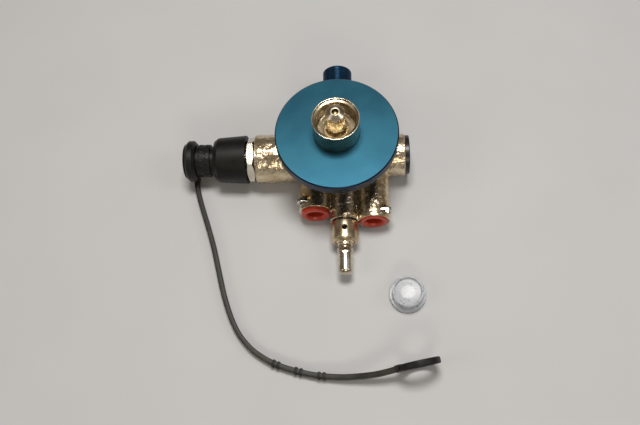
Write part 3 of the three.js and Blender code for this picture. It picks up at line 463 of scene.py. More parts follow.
# ---------------------------------------------------------------- end loop of the tether
# A ring of the same rubber, moulded on the end of the strap. It stands on its rim.

LOOP_TURN = 0.2
LOOP_LEAN = 0.14
LOOP_HOLE_SHARE = 0.68
LOOP_THICKNESS = 3.2 * MM
LOOP_EDGE = 0.7 * MM
LOOP_HOLE_EDGE = 0.5 * MM
LUG_LENGTH = 2.6 * MM
LUG_START = 0.5 * MM

cap_rubber = moulded_rubber("cap_rubber", colour(9, 9, 7), colour(18, 18, 14), roughness=0.42)


def rounded_corners(outline, closed):
    """Each outline point is (radius, height) or (radius, height, rounding)."""
    result = []
    count = len(outline)
    for i, point in enumerate(outline):
        here = Vector(point[:2])
        rounding = point[2] if len(point) > 2 else 0
        at_end = not closed and i in (0, count - 1)
        if rounding <= 0 or at_end:
            result.append(here)
            continue
        back = Vector(outline[i - 1][:2]) - here
        on = Vector(outline[(i + 1) % count][:2]) - here
        half = back.angle(on) / 2
        reach = min(rounding / math.tan(half), 0.48 * back.length, 0.48 * on.length)
        radius = reach * math.tan(half)
        middle = here + (back.normalized() + on.normalized()).normalized() * radius / math.sin(half)
        start = here + back.normalized() * reach - middle
        end = here + on.normalized() * reach - middle
        sweep = start.angle_signed(end)
        for step in range(CORNER_STEPS + 1):
            result.append(middle + Matrix.Rotation(-sweep * step / CORNER_STEPS, 2) @ start)
    return result


def lathe(outline, origin, axis, sides):
    """A bmesh turned from (radius, height) points about an axis. It closes on itself off-axis."""
    closed = outline[0][0] > 0
    points = rounded_corners(outline, closed)
    axis = Vector(axis).normalized()
    turn = Vector((0, 0, 1)).rotation_difference(axis)
    origin = Vector(origin)
    shape = bmesh.new()
    rings = []
    for radius, height in points:
        if radius < 1e-7:
            rings.append([shape.verts.new(origin + turn @ Vector((0, 0, height)))])
            continue
        ring = []
        for side in range(sides):
            angle = 2 * math.pi * side / sides
            spot = Vector((radius * math.cos(angle), radius * math.sin(angle), height))
            ring.append(shape.verts.new(origin + turn @ spot))
        rings.append(ring)
    pairs = list(zip(rings, rings[1:]))
    if closed:
        pairs.append((rings[-1], rings[0]))
    for ring, following in pairs:
        for i in range(sides):
            j = (i + 1) % sides
            corners = [ring[i % len(ring)], ring[j % len(ring)],
                       following[j % len(following)], following[i % len(following)]]
            unique = list(dict.fromkeys(corners))
            if len(unique) > 2:
                shape.faces.new(unique)
    bmesh.ops.recalc_face_normals(shape, faces=shape.faces)
    return shape


def settled(piece):
    """Flat faces stay flat in shading, right up to their rounded edges."""
    shade(piece)
    normals = piece.modifiers.new("normals", "WEIGHTED_NORMAL")
    normals.keep_sharp = True
    return baked(piece)


def turned(name, outline, origin, axis, material, sides=96):
    return settled(new_object(name, lathe(outline, origin, axis, sides), material))


def centre(node):
    low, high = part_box(node)
    return (low + high) / 2


def joined(name, *pieces):
    """One object from several."""
    shape = bmesh.new()
    for piece in pieces:
        shape.from_mesh(piece.data)
    result = new_object(name, shape, *pieces[0].data.materials)
    for piece in pieces:
        bpy.data.objects.remove(piece)
    return result


def tether_loop():
    low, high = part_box("tether_loop")
    half = LOOP_THICKNESS / 2
    radius = ((high.z - low.z) / 2 - half * math.sin(LOOP_LEAN)) / math.cos(LOOP_LEAN)
    hole = radius * LOOP_HOLE_SHARE
    level = Vector((math.sin(LOOP_TURN), -math.cos(LOOP_TURN), 0)) * math.cos(LOOP_LEAN)
    axis = level - Vector((0, 0, math.sin(LOOP_LEAN)))
    outline = [(hole, -half, LOOP_HOLE_EDGE), (radius, -half, LOOP_EDGE), (radius, half, LOOP_EDGE),
               (hole, half, LOOP_HOLE_EDGE)]
    ring = turned("ring", outline, centre("tether_loop"), axis, cap_rubber)
    end = strap_path[-1]
    ahead = (end - strap_path[-2]).normalized()
    lug = swept("lug", [end - ahead * LUG_START, end, end + ahead * LUG_LENGTH],
                rounded_rectangle(STRAP_THICKNESS + 0.6 * MM, STRAP_HEIGHT + 0.3 * MM, STRAP_EDGE),
                cap_rubber)
    return joined("end_loop", ring, lug)


loop = tether_loop()
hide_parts("tether_loop")
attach(loop, "dust_cap")

# ---------------------------------------------------------------- dust cap
# One rubber moulding, pushed over the inlet's nipple: a wide skirt with a sloping shoulder, a
# groove, a ribbed neck to pull it by, and a domed head that holds the tether's collar.


def body_of(node):
    return next(body for body, nodes in RECORD["behaviour"]["bodies"].items() if node in nodes)


def slot_of(node):
    return next(s["material_slot"] for s in RECORD["subparts"] if s["node"] == node)


def take_over(piece, node):
    """The piece stands for a CAD solid: on its body, in place of the hidden solid."""
    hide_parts(node)
    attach(piece, body_of(node))
    return piece


CAP_LOW, CAP_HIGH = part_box("dust_cap")
CAP_AXIS = Vector((0, 0, (CAP_LOW.z + CAP_HIGH.z) / 2))
CAP_SKIRT = (CAP_HIGH.z - CAP_LOW.z) / 2
CAP_OPEN = -CAP_HIGH.x
CAP_END = -CAP_LOW.x
CAP_TAPER = 0.9 * MM
CAP_SHOULDER = 65 * MM
CAP_GROOVE = 7.4 * MM
CAP_NECK_FROM = 67.3 * MM
CAP_NECK = 8.4 * MM
CAP_SEAT_FROM = 74.7 * MM
CAP_SEAT = 7.6 * MM
CAP_HEAD_FROM = 80.6 * MM
CAP_HEAD = 9.5 * MM
CAP_SHOULDER_RADIUS = 10.4 * MM
NIPPLE_HOLE = 8.9 * MM
TIP_HOLE = 5.8 * MM
OUT_LEFT = (-1, 0, 0)


def dust_cap():
    outline = [
        (0, 74 * MM), (TIP_HOLE, 74 * MM), (TIP_HOLE, 64 * MM), (NIPPLE_HOLE, 60.9 * MM),
        (NIPPLE_HOLE, CAP_OPEN, 0.3 * MM), (CAP_SKIRT, CAP_OPEN, 0.6 * MM),
        (CAP_SKIRT - CAP_TAPER, CAP_SHOULDER - 2 * MM, 0.9 * MM),
        (CAP_SHOULDER_RADIUS, CAP_SHOULDER, 0.35 * MM),
        (CAP_GROOVE, CAP_SHOULDER, 0.3 * MM), (CAP_GROOVE, CAP_NECK_FROM, 0.3 * MM),
        (CAP_NECK, CAP_NECK_FROM, 0.35 * MM), (CAP_NECK, CAP_SEAT_FROM, 0.25 * MM),
        (CAP_SEAT, CAP_SEAT_FROM, 0.15 * MM), (CAP_SEAT, CAP_HEAD_FROM, 0.15 * MM),
        (CAP_HEAD, CAP_HEAD_FROM, 0.4 * MM),
        (CAP_HEAD - 0.9 * MM, (CAP_HEAD_FROM + CAP_END) / 2, 1.2 * MM),
        (CAP_HEAD - 3.5 * MM, CAP_END - 0.2 * MM, 2.5 * MM), (0, CAP_END),
    ]
    return turned("cap_moulding", outline, CAP_AXIS, OUT_LEFT, cap_rubber, sides=144)


take_over(dust_cap(), "dust_cap")

# ---------------------------------------------------------------- grip ribs on the cap's neck
# Short raised ribs stand round the neck in two rows, so that wet fingers can pull the cap off.

GRIP_RIBS = 20
GRIP_ROWS = (69.0 * MM, 72.4 * MM)
GRIP_LENGTH = 2.4 * MM
GRIP_WIDTH = 1.0 * MM
GRIP_STAND = 0.22 * MM
GRIP_EDGE = 0.2 * MM


def grip_ribs():
    sizes = {"Radius": CAP_NECK, "Length": GRIP_LENGTH, "Width": GRIP_WIDTH, "Stand": GRIP_STAND,
             "First": GRIP_ROWS[0], "Row": GRIP_ROWS[1] - GRIP_ROWS[0], "Height": CAP_AXIS.z}
    graph, given, result = geometry_tree("grip_ribs", **sizes)
    index = graph.add("GeometryNodeInputIndex")[0]
    row = (index / GRIP_RIBS).math("FLOOR")
    angle = (index + row * 0.5) * (2 * math.pi / GRIP_RIBS)
    side, rise = angle.math("COSINE"), angle.math("SINE")
    along = (given["First"] + row * given["Row"]) * -1
    place = vector(graph, along, side * given["Radius"], rise * given["Radius"] + given["Height"])
    set_blocks(graph, result, 2 * GRIP_RIBS, place, ("Z", "X", vector(graph, 0.0, side, rise)),
               (given["Length"], given["Width"], given["Stand"] * 2), cap_rubber)
    return edges_rounded(run_tree(new_object("grip_ribs", bmesh.new()), graph, sizes), GRIP_EDGE)


ribs = grip_ribs()
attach(ribs, "dust_cap")

# ---------------------------------------------------------------- collar of the tether
# A loose rubber ring on the cap's head. The strap grows out of a root below it.

COLLAR_CHAMFER = 1.4 * MM
ROOT_DEPTH = 3.4 * MM
ROOT_RISE = 0.68
ROOT_EXTRA = 0.2 * MM


def block(low, high, rounding):
    """A block between two corners, with rounded edges."""
    shape = bmesh.new()
    bmesh.ops.create_cube(shape, size=1)
    low, high = Vector(low), Vector(high)
    for vert in shape.verts:
        vert.co = Vector([a + (b - a) * (c + 0.5) for a, b, c in zip(low, high, vert.co)])
    bmesh.ops.bevel(shape, geom=shape.edges, offset=rounding, segments=3, affect="EDGES",
                    profile=0.5)
    return shape


def tether_collar():
    low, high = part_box("tether_collar")
    radius = high.z - CAP_AXIS.z
    bore = CAP_SEAT + 0.3 * MM
    near, far = -high.x, -low.x
    outline = [(bore, near, 0.15 * MM), (radius - COLLAR_CHAMFER, near, 0.3 * MM),
               (radius, near + COLLAR_CHAMFER, 0.4 * MM), (radius, far - COLLAR_CHAMFER, 0.4 * MM),
               (radius - COLLAR_CHAMFER, far, 0.3 * MM), (bore, far, 0.15 * MM)]
    ring = turned("ring", outline, CAP_AXIS, OUT_LEFT, cap_rubber)
    start = strap_path[0]
    half = STRAP_THICKNESS / 2 + ROOT_EXTRA
    root_low = (start.x - half, start.y, start.z - STRAP_HEIGHT / 2)
    root_high = (start.x + half, start.y + ROOT_DEPTH, CAP_AXIS.z - ROOT_RISE * radius)
    root = shade(new_object("root", block(root_low, root_high, 0.4 * MM), cap_rubber))
    return joined("head_collar", ring, root)


take_over(tether_collar(), "tether_collar")

# ---------------------------------------------------------------- body
# A brass casting, nickel plated. Barrels, bosses, neck and foot run into each other with soft
# cast fillets, and the end faces, bores and clip slots are machined afterwards, so they are crisp.

MAIN_AXIS = Vector((0, 0, 12.9 * MM))
BARREL_RADIUS = 12.7 * MM
BARREL_END = 43.3 * MM
BARREL_WAIST = 14 * MM
SIDE_BARREL_RADIUS = 11 * MM
SIDE_BARREL_END = 34.4 * MM
NECK_RADIUS = 14 * MM
NECK_TOP = FLANGE_LOW.z + 0.3 * MM
FOOT = ((-11.5 * MM, -24 * MM, 0), (16.5 * MM, 8 * MM, 6 * MM))
FRONT_X = 2.5 * MM
FRONT_SPACING = 14.95 * MM
FRONT_HEIGHT = 9 * MM
BOSS_RADIUS = 8.6 * MM
CENTRE_BOSS_RADIUS = 7.3 * MM
LEFT_END, CENTRE_END, RIGHT_END = 29.8 * MM, 35.4 * MM, 35.7 * MM
REAR_BOSS_RADIUS = 9.5 * MM
REAR_END = 17 * MM
MACHINING = 1 * MM
CAST_GRID = 0.5 * MM
EDGE_BREAK = 0.4 * MM
GAP = 0.3 * MM
SMALL_TUBE, LARGE_TUBE = 4 * MM, 6 * MM
SMALL_COLLAR, LARGE_COLLAR = 7.25 * MM, 10.2 * MM
TUBE_PLAY = 0.15 * MM
CARTRIDGE_WALL = 2.7 * MM
CARTRIDGE_DEPTH = 13 * MM
TUBE_STOP = 17 * MM
WATERWAY = 2 * MM
SLOT_ROOM = 0.25 * MM
OUT_RIGHT, OUT_FRONT, OUT_REAR = (1, 0, 0), (0, -1, 0), (0, 1, 0)
UPWARDS = (0, 0, 1)
LEFT_AXIS = Vector((FRONT_X - FRONT_SPACING, 0, FRONT_HEIGHT))
CENTRE_AXIS = Vector((FRONT_X, 0, FRONT_HEIGHT))
RIGHT_AXIS = Vector((FRONT_X + FRONT_SPACING, 0, FRONT_HEIGHT))
BOSSES = [
    (LEFT_AXIS, OUT_FRONT, BOSS_RADIUS, LEFT_END),
    (CENTRE_AXIS, OUT_FRONT, CENTRE_BOSS_RADIUS, CENTRE_END),
    (RIGHT_AXIS, OUT_FRONT, BOSS_RADIUS, RIGHT_END),
    (MAIN_AXIS, OUT_REAR, REAR_BOSS_RADIUS, REAR_END),
]


def plated(name, dark, light, peel, swell=0.0, roughness=0.12):
    """Bright plating over a skin of short ripples and a longer swell, with cloudy gloss."""
    plate = Finish(name, Metallic=1.0)
    cloud = plate.noise(9 * MM, detail=4, roughness=0.6)
    ripple = plate.noise(1.5 * MM, detail=2)
    return plate.surface(cloud.ramp(0.3, 0.7), dark, light,
                         cloud * 0.08 + ripple * 0.06 + (roughness - 0.06),
                         ripple + plate.noise(5 * MM) * swell, peel)


cast_nickel = plated("cast_nickel", (0.54, 0.42, 0.26, 1), (0.80, 0.69, 0.51, 1), 0.26 * MM, 3.0, 0.27)
machined_nickel = plated("machined_nickel", (0.60, 0.54, 0.43, 1), (0.80, 0.76, 0.67, 1), 0.012 * MM)


def combined(piece, operation, *tools):
    """The piece joined with, cut by, or kept inside each of the tools, which are used up."""
    for tool in tools:
        step = piece.modifiers.new("step", "BOOLEAN")
        step.operation, step.solver, step.object = operation, "MANIFOLD", tool
    baked(piece)
    for tool in tools:
        bpy.data.objects.remove(tool)
    return piece


def rod(outline, origin, axis, sides=96):
    return new_object("rod", lathe(outline, origin, axis, sides), machined_nickel)


def drill(radius, start, end, origin, axis, sides=96):
    """A plain round bar, as a drill or a blank."""
    return rod([(0, start), (radius, start), (radius, end), (0, end)], origin, axis, sides)


def blank(axis_point, outward, radius, end, start=0):
    """A cast cylinder, left long for machining."""
    return drill(radius, start, end + MACHINING, axis_point, outward)


def facing(axis_point, outward, radius, end):
    """Cuts a boss to length and breaks the edge of its new face."""
    over = 0.15 * MM
    return rod([(0, end), (radius - EDGE_BREAK, end), (radius + over, end - EDGE_BREAK - over),
                (radius + over, end + 3 * MACHINING), (0, end + 3 * MACHINING)],
               axis_point, outward)


def casting():
    taper = BARREL_RADIUS - SIDE_BARREL_RADIUS
    barrel = rod([(0, -SIDE_BARREL_END - MACHINING), (SIDE_BARREL_RADIUS, -SIDE_BARREL_END - MACHINING),
                  (SIDE_BARREL_RADIUS, BARREL_WAIST - taper), (BARREL_RADIUS, BARREL_WAIST),
                  (BARREL_RADIUS, BARREL_END + MACHINING), (0, BARREL_END + MACHINING)],
                 MAIN_AXIS, OUT_LEFT)
    foot = new_object("foot", block(*FOOT, 1.0 * MM), machined_nickel)
    rough = joined(
        "valve_casting", barrel, foot,
        blank((0, 0, 0), UPWARDS, NECK_RADIUS, NECK_TOP, start=MAIN_AXIS.z),
        *[blank(*boss) for boss in BOSSES])
    skin = rough.modifiers.new("skin", "REMESH")
    skin.mode, skin.voxel_size = "VOXEL", CAST_GRID
    fillets = rough.modifiers.new("fillets", "SMOOTH")
    fillets.factor, fillets.iterations = 0.5, 10
    baked(rough)
    rough.data.materials.clear()
    rough.data.materials.append(cast_nickel)
    for face in rough.data.polygons:
        face.material_index = 0
    return rough


def port_bore(end, axis_point, outward, tube, collar, recess, depth):
    """A stepped hole: collar recess, cartridge, tube, and the waterway from the tube's stop."""
    hole, cartridge = tube + TUBE_PLAY, tube + CARTRIDGE_WALL
    mouth = collar + GAP if recess else cartridge
    outline = [(0, end - depth), (WATERWAY, end - depth), (WATERWAY, end - TUBE_STOP),
               (hole, end - TUBE_STOP), (hole, end - CARTRIDGE_DEPTH),
               (cartridge, end - CARTRIDGE_DEPTH), (cartridge, end - recess - 0.01 * MM),
               (mouth, end - recess), (mouth, end + 2 * MM), (0, end + 2 * MM)]
    return rod(outline, axis_point, outward)


def body():
    """The casting, faced, bored and slotted."""
    piece = casting()
    under = block((-0.1, -0.1, -5 * MM), (0.1, 0.1, 0), 0.1 * MM)
    combined(piece, "DIFFERENCE", new_object("under", under, machined_nickel),
             facing((0, 0, 0), UPWARDS, NECK_RADIUS, NECK_TOP),
             facing(MAIN_AXIS, OUT_LEFT, BARREL_RADIUS, BARREL_END),
             facing(MAIN_AXIS, OUT_RIGHT, SIDE_BARREL_RADIUS, SIDE_BARREL_END),
             *[facing(*boss) for boss in BOSSES])
    combined(piece, "DIFFERENCE",
             port_bore(LEFT_END, LEFT_AXIS, OUT_FRONT, SMALL_TUBE, SMALL_COLLAR, 0, 29 * MM),
             port_bore(RIGHT_END, RIGHT_AXIS, OUT_FRONT, SMALL_TUBE, SMALL_COLLAR, 3 * MM, 34 * MM),
             port_bore(SIDE_BARREL_END, MAIN_AXIS, OUT_RIGHT, LARGE_TUBE, LARGE_COLLAR, 1.7 * MM,
                       26 * MM),
             drill(4.7 * MM, 10 * MM, 40 * MM, CENTRE_AXIS, OUT_FRONT),
             drill(8.5 * MM, 29 * MM, 50 * MM, MAIN_AXIS, OUT_LEFT),
             drill(6.3 * MM, 6 * MM, 22 * MM, MAIN_AXIS, OUT_REAR),
             drill(8 * MM, 20 * MM, 38 * MM, (0, 0, 0), UPWARDS))
    slots = []
    for node in ("left_retaining_clip", "right_retaining_clip"):
        low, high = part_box(node)
        room = Vector((1, 1, 1)) * SLOT_ROOM
        slots.append(new_object("slot", block(low - room, high + room * 6, 0.1 * MM), machined_nickel))
    combined(piece, "DIFFERENCE", *slots)
    return shade(piece, 35)


take_over(body(), "valve_body")

# ---------------------------------------------------------------- mounting flange
# A turned aluminium disc, bead blasted and anodised teal. Its edges are broken with a fine
# chamfer, and faint rings from the lathe still show under the satin skin.


FLANGE_BORE = 8 * MM
FLANGE_CHAMFER = 0.55 * MM
FLANGE_RECESS = 0.6 * MM
CUP_RECESS = 11.65 * MM
ROUND_Z, ROUND_Y = (1, 1, 0), (1, 0, 1)


def lathe_rings(skin, crossing, width, on_walls):
    """Tool rings round an axis that the crossing directions are square to."""
    across = skin.stretched(*crossing)
    place = skin.add("ShaderNodeVectorMath", {"operation": "LENGTH"}, {0: across})["Value"]
    if on_walls:
        axis = [1 - part for part in crossing]
        place = place + skin.add("ShaderNodeVectorMath", {"operation": "DOT_PRODUCT"},
                                 {0: skin.place, 1: axis})["Value"]
    return skin.add("ShaderNodeTexNoise", {"noise_dimensions": "1D"},
                    {"W": place, "Scale": 1 / width, "Detail": 3.0})[0]


def anodised(name, dark, light, crossing, roughness=0.36):
    """A dyed satin skin over lathe rings."""
    skin = Finish(name, Metallic=0.82, Specular_IOR_Level=0.6)
    rings = lathe_rings(skin, crossing, 0.8 * MM, on_walls=False)
    blast = skin.noise(0.25 * MM, detail=2)
    cloud = skin.noise(16 * MM, detail=3)
    return skin.surface(cloud.ramp(0.3, 0.7), dark, light,
                        rings * 0.08 + blast * 0.08 + cloud * 0.05 + (roughness - 0.1),
                        blast + rings * 0.6, 0.008 * MM)


teal_skin = anodised("teal_anodised", (0.010, 0.070, 0.112, 1), (0.015, 0.088, 0.134, 1), ROUND_Z)
# A darker copy of the teal: painted shade for the disc's rim and underside.
teal_edge = anodised("teal_edge", (0.002, 0.015, 0.040, 1), (0.004, 0.022, 0.055, 1), ROUND_Z)


def flange():
    radius = (FLANGE_HIGH.x - FLANGE_LOW.x) / 2
    under, top = FLANGE_LOW.z, FLANGE_HIGH.z
    neck = NECK_RADIUS + GAP
    outline = [(FLANGE_BORE, under + FLANGE_RECESS), (neck, under + FLANGE_RECESS),
               (neck, under, 0.1 * MM), (radius - FLANGE_CHAMFER, under, 0.1 * MM),
               (radius, under + FLANGE_CHAMFER, 0.1 * MM), (radius, top - FLANGE_CHAMFER, 0.12 * MM),
               (radius - FLANGE_CHAMFER, top, 0.12 * MM), (CUP_RECESS, top, 0.1 * MM),
               (CUP_RECESS, top - FLANGE_RECESS), (FLANGE_BORE, top - FLANGE_RECESS)]
    disc = turned("flange_disc", outline, (0, 0, 0), UPWARDS, teal_skin, sides=192)
    disc.data.materials.append(teal_edge)
    # Every face below the top face takes the darker copy, as painted shade.
    for face in disc.data.polygons:
        face.material_index = int(face.center.z < FLANGE_HIGH.z - 0.05 * MM)
    return disc


take_over(flange(), "top_flange")

# ---------------------------------------------------------------- coupling cup
# Turned brass, nickel plated and polished. A thin rim stands round a ledge, and the wall inside
# drops to the floor where the nozzle is seated.

CUP_RADIUS = 11.6 * MM
CUP_WALL = 1.9 * MM
RIM_WALL = 0.6 * MM
LEDGE_DEPTH = 1.1 * MM
CUP_FLOOR = 3 * MM
SPIGOT_RADIUS = 7.7 * MM
STEM_HOLE = 4.7 * MM
UPRIGHT = ((0, 0, 0), UPWARDS)


def polished(name, dark, light, crossing, roughness):
    """Plating over a finely turned surface: bright, with faint rings and a few dull patches."""
    skin = Finish(name, Metallic=1.0)
    rings = lathe_rings(skin, crossing, 0.5 * MM, on_walls=True)
    cloud = skin.noise(5 * MM, detail=3)
    return skin.surface(cloud.ramp(0.3, 0.7), dark, light,
                        rings * 0.10 + cloud * 0.08 + (roughness - 0.07),
                        rings + cloud * 0.8, 0.008 * MM)


cup_nickel = polished("cup_nickel", (0.55, 0.50, 0.40, 1), (0.76, 0.72, 0.62, 1), ROUND_Z, 0.20)
cup_gold = polished("cup_gold", (0.46, 0.37, 0.23, 1), (0.66, 0.57, 0.40, 1), ROUND_Z, 0.18)


def coupling_cup():
    low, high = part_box("coupling_cup")
    floor = FLANGE_HIGH.z + CUP_FLOOR
    inner = CUP_RADIUS - CUP_WALL
    rim = CUP_RADIUS - RIM_WALL
    outline = [
        (STEM_HOLE, low.z), (SPIGOT_RADIUS, low.z, 0.3 * MM),
        (SPIGOT_RADIUS, FLANGE_HIGH.z - 0.3 * MM), (CUP_RADIUS, FLANGE_HIGH.z - 0.3 * MM, 0.2 * MM),
        (CUP_RADIUS, high.z, 0.22 * MM), (rim, high.z, 0.22 * MM),
        (rim, high.z - LEDGE_DEPTH, 0.15 * MM), (inner, high.z - LEDGE_DEPTH - 0.25 * MM, 0.3 * MM),
        (inner, floor, 0.8 * MM), (STEM_HOLE, floor)]
    shell = turned("coupling_cup_shell", outline, *UPRIGHT, cup_nickel, sides=144)
    shell.data.materials.append(cup_gold)
    for face in shell.data.polygons:
        inside = face.center.xy.length < rim and face.center.z > floor - 0.1 * MM
        face.material_index = int(inside)
    return shell


take_over(coupling_cup(), "coupling_cup")

# ---------------------------------------------------------------- nozzle and poppet
# The nozzle screws down through the cup's floor. Its tip is a bright cone with a hole, and a
# sprung poppet closes the seat inside it.

NOZZLE_RADIUS = 4.65 * MM
NOZZLE_HOLE = 1.55 * MM
NOZZLE_CHAMBER = 3 * MM
NOZZLE_STEM = 4.4 * MM
NOZZLE_TIP_HEIGHT = 1.5 * MM
NOZZLE_FOOT = 6.2 * MM
NOZZLE_SEAT_DEPTH = 4 * MM
PIN_PLAY = 0.65 * MM
PIN_LIP = 3 * MM
PIN_SHANK = 1.1 * MM

nozzle_gold = polished("nozzle_gold", (0.58, 0.50, 0.37, 1), (0.76, 0.69, 0.55, 1), ROUND_Z, 0.26)
poppet_brass = polished("poppet_brass", (0.62, 0.44, 0.18, 1), (0.78, 0.58, 0.28, 1), ROUND_Z, 0.2)


def nozzle():
    low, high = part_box("nozzle")
    foot = FLANGE_HIGH.z + CUP_FLOOR + GAP
    shoulder = high.z - NOZZLE_TIP_HEIGHT
    seat = shoulder - NOZZLE_SEAT_DEPTH
    slope = NOZZLE_CHAMBER - NOZZLE_HOLE
    outline = [
        (NOZZLE_CHAMBER, low.z), (NOZZLE_STEM, low.z), (NOZZLE_STEM, foot),
        (NOZZLE_FOOT, foot, 0.1 * MM), (NOZZLE_FOOT, foot + 0.8 * MM, 0.3 * MM),
        (NOZZLE_RADIUS, foot + 4 * MM, 2 * MM),
        (NOZZLE_RADIUS, shoulder, 0.35 * MM), (NOZZLE_HOLE + 0.6 * MM, high.z, 0.2 * MM),
        (NOZZLE_HOLE, high.z, 0.15 * MM), (NOZZLE_HOLE, seat), (NOZZLE_CHAMBER, seat - slope)]
    return turned("nozzle_shell", outline, *UPRIGHT, nozzle_gold)


def nozzle_poppet():
    low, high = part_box("nozzle_poppet")
    pin = NOZZLE_HOLE - PIN_PLAY
    head = NOZZLE_CHAMBER - 0.4 * MM
    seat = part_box("nozzle")[1].z - NOZZLE_TIP_HEIGHT - NOZZLE_SEAT_DEPTH
    cone_top = seat - 0.5 * MM + PIN_PLAY
    cone_foot = cone_top - (head - pin)
    outline = [(0, low.z), (PIN_SHANK, low.z), (PIN_SHANK, low.z + PIN_LIP), (head, low.z + PIN_LIP),
               (head, cone_foot, 0.1 * MM), (pin, cone_top, 0.3 * MM), (pin, high.z, 0.3 * MM),
               (0, high.z)]
    return turned("nozzle_pin", outline, *UPRIGHT, poppet_brass, sides=48)


take_over(nozzle(), "nozzle")
take_over(nozzle_poppet(), "nozzle_poppet")

# ---------------------------------------------------------------- inlet adapter
# A hexagon with a nipple that the dust cap covers. It is screwed into the left barrel, down on a
# rubber washer, and stopped where its thread came tight.

HEX_ACROSS_FLATS = 21 * MM
HEX_TURN = math.radians(-40)
NIPPLE_RADIUS = 8.5 * MM
NIPPLE_TIP = 5.4 * MM
INLET_BORE = 4 * MM
INLET_THREAD = 8.2 * MM
INLET_HEX_FROM, INLET_HEX_TO = BARREL_END + 0.35 * MM, BARREL_END + 4.2 * MM
INLET_GROOVE = INLET_HEX_TO + 5 * MM
INLET_CONE_FROM_TIP = 10.5 * MM
INLET_MOUTH = 2.6 * MM
NUT_TURNING = 0.15 * MM
NUT_CHAMFER = 0.45

seal_rubber = moulded_rubber("seal_rubber", colour(20, 20, 20), colour(33, 33, 32), roughness=0.6)


def hexagon(across_flats, start, end, origin, axis, turn=0.0):
    """A hexagonal bar whose corners are turned off at both ends."""
    corner = across_flats / math.sqrt(3)
    spots = [(corner * math.cos(math.radians(60 * side) + turn),
              corner * math.sin(math.radians(60 * side) + turn)) for side in range(6)]
    upright = Vector((0, 0, 1)).rotation_difference(Vector(axis))
    shape = bmesh.new()
    rings = [[shape.verts.new(Vector(origin) + upright @ Vector((x, y, z))) for x, y in spots]
             for z in (start, end)]
    bar = new_object("hexagon", skinned(shape, rings), machined_nickel)
    ease = corner - across_flats / 2 + NUT_TURNING
    rise = ease * NUT_CHAMFER
    eased = rod([(0, start), (corner - ease, start), (corner, start + rise), (corner, end - rise),
                 (corner - ease, end), (0, end)], origin, axis, sides=180)
    return combined(bar, "INTERSECT", eased)


def inlet_adapter():
    low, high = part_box("inlet_adapter")
    tip = -low.x
    shoulder = tip - INLET_CONE_FROM_TIP
    outline = [
        (INLET_BORE, -high.x), (INLET_THREAD, -high.x, 0.3 * MM),
        (INLET_THREAD, INLET_HEX_FROM + MACHINING), (NIPPLE_RADIUS, INLET_HEX_FROM + MACHINING),
        (NIPPLE_RADIUS, INLET_GROOVE, 0.2 * MM),
        (NIPPLE_RADIUS - MACHINING, INLET_GROOVE + 0.8 * MM, 0.3 * MM),
        (NIPPLE_RADIUS - MACHINING, INLET_GROOVE + 2.2 * MM, 0.3 * MM),
        (NIPPLE_RADIUS, INLET_GROOVE + 3 * MM, 0.2 * MM), (NIPPLE_RADIUS, shoulder, 0.3 * MM),
        (NIPPLE_TIP, shoulder + NIPPLE_RADIUS - NIPPLE_TIP, 0.3 * MM), (NIPPLE_TIP, tip, 0.5 * MM),
        (INLET_MOUTH, tip, 0.2 * MM), (INLET_MOUTH, tip - 1.5 * MM), (INLET_BORE, tip - 2.9 * MM)]
    nut = hexagon(HEX_ACROSS_FLATS, INLET_HEX_FROM, INLET_HEX_TO, MAIN_AXIS, OUT_LEFT, HEX_TURN)
    combined(nut, "DIFFERENCE",
             drill(INLET_BORE + 0.5 * MM, 20 * MM, 60 * MM, MAIN_AXIS, OUT_LEFT))
    combined(nut, "UNION", rod(outline, MAIN_AXIS, OUT_LEFT))
    nut.name = "inlet_fitting"
    return edges_rounded(nut, 0.12 * MM, 25, sharp_degrees=40)


def ends_of(node, origin, axis):
    """How far from the origin a CAD solid starts and ends, along the axis."""
    return sorted(abs((corner - Vector(origin)).dot(Vector(axis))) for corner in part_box(node))


def washer(name, node, origin, axis, inner):
    low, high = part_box(node)
    outer = max(high.z - low.z, high.x - low.x) / 2
    near, far = ends_of(node, origin, axis)
    outline = [(inner, near, 0.1 * MM), (outer, near, 0.2 * MM), (outer, far, 0.2 * MM),
               (inner, far, 0.1 * MM)]
    return turned(name, outline, origin, axis, seal_rubber)


take_over(inlet_adapter(), "inlet_adapter")
take_over(washer("inlet_seal", "inlet_washer", MAIN_AXIS, OUT_LEFT, 8.5 * MM), "inlet_washer")

# ---------------------------------------------------------------- release collars
# Each push-in port has a moulded acetal collar. Pressing it in lets go of the tube. The two
# front ones are red, the large one at the side is black.

SLEEVE_WALL = 1.3 * MM
COLLAR_MOUTH = 1.1 * MM


def acetal(name, dark, light):
    """Moulded acetal: nearly even colour, a waxy gloss and slight sink ripples."""
    plastic = Finish(name, Specular_IOR_Level=0.5)
    cloud = plastic.noise(3 * MM, detail=3)
    speck = plastic.noise(0.3 * MM)
    return plastic.surface(cloud, dark, light, speck * 0.12 + cloud * 0.08 + 0.22,
                           cloud * 1.5 + speck, 0.012 * MM)


red_acetal = acetal("red_acetal", (0.42, 0.030, 0.012, 1), (0.56, 0.050, 0.022, 1))
black_acetal = acetal("black_acetal", (0.010, 0.010, 0.011, 1), (0.018, 0.018, 0.018, 1))


def release_collar(name, node, origin, axis, tube, radius, flange, material):
    back, front = ends_of(node, origin, axis)
    sleeve = tube + SLEEVE_WALL
    outline = [
        (tube + TUBE_PLAY, back + 0.6 * MM), (tube + 0.6 * MM, back, 0.1 * MM),
        (sleeve, back, 0.2 * MM), (sleeve, front - flange, 0.1 * MM),
        (radius, front - flange, 0.35 * MM), (radius, front, 0.5 * MM),
        (tube + COLLAR_MOUTH, front, 0.35 * MM), (tube + TUBE_PLAY, front - COLLAR_MOUTH, 0.3 * MM)]
    return turned(name, outline, origin, axis, material)


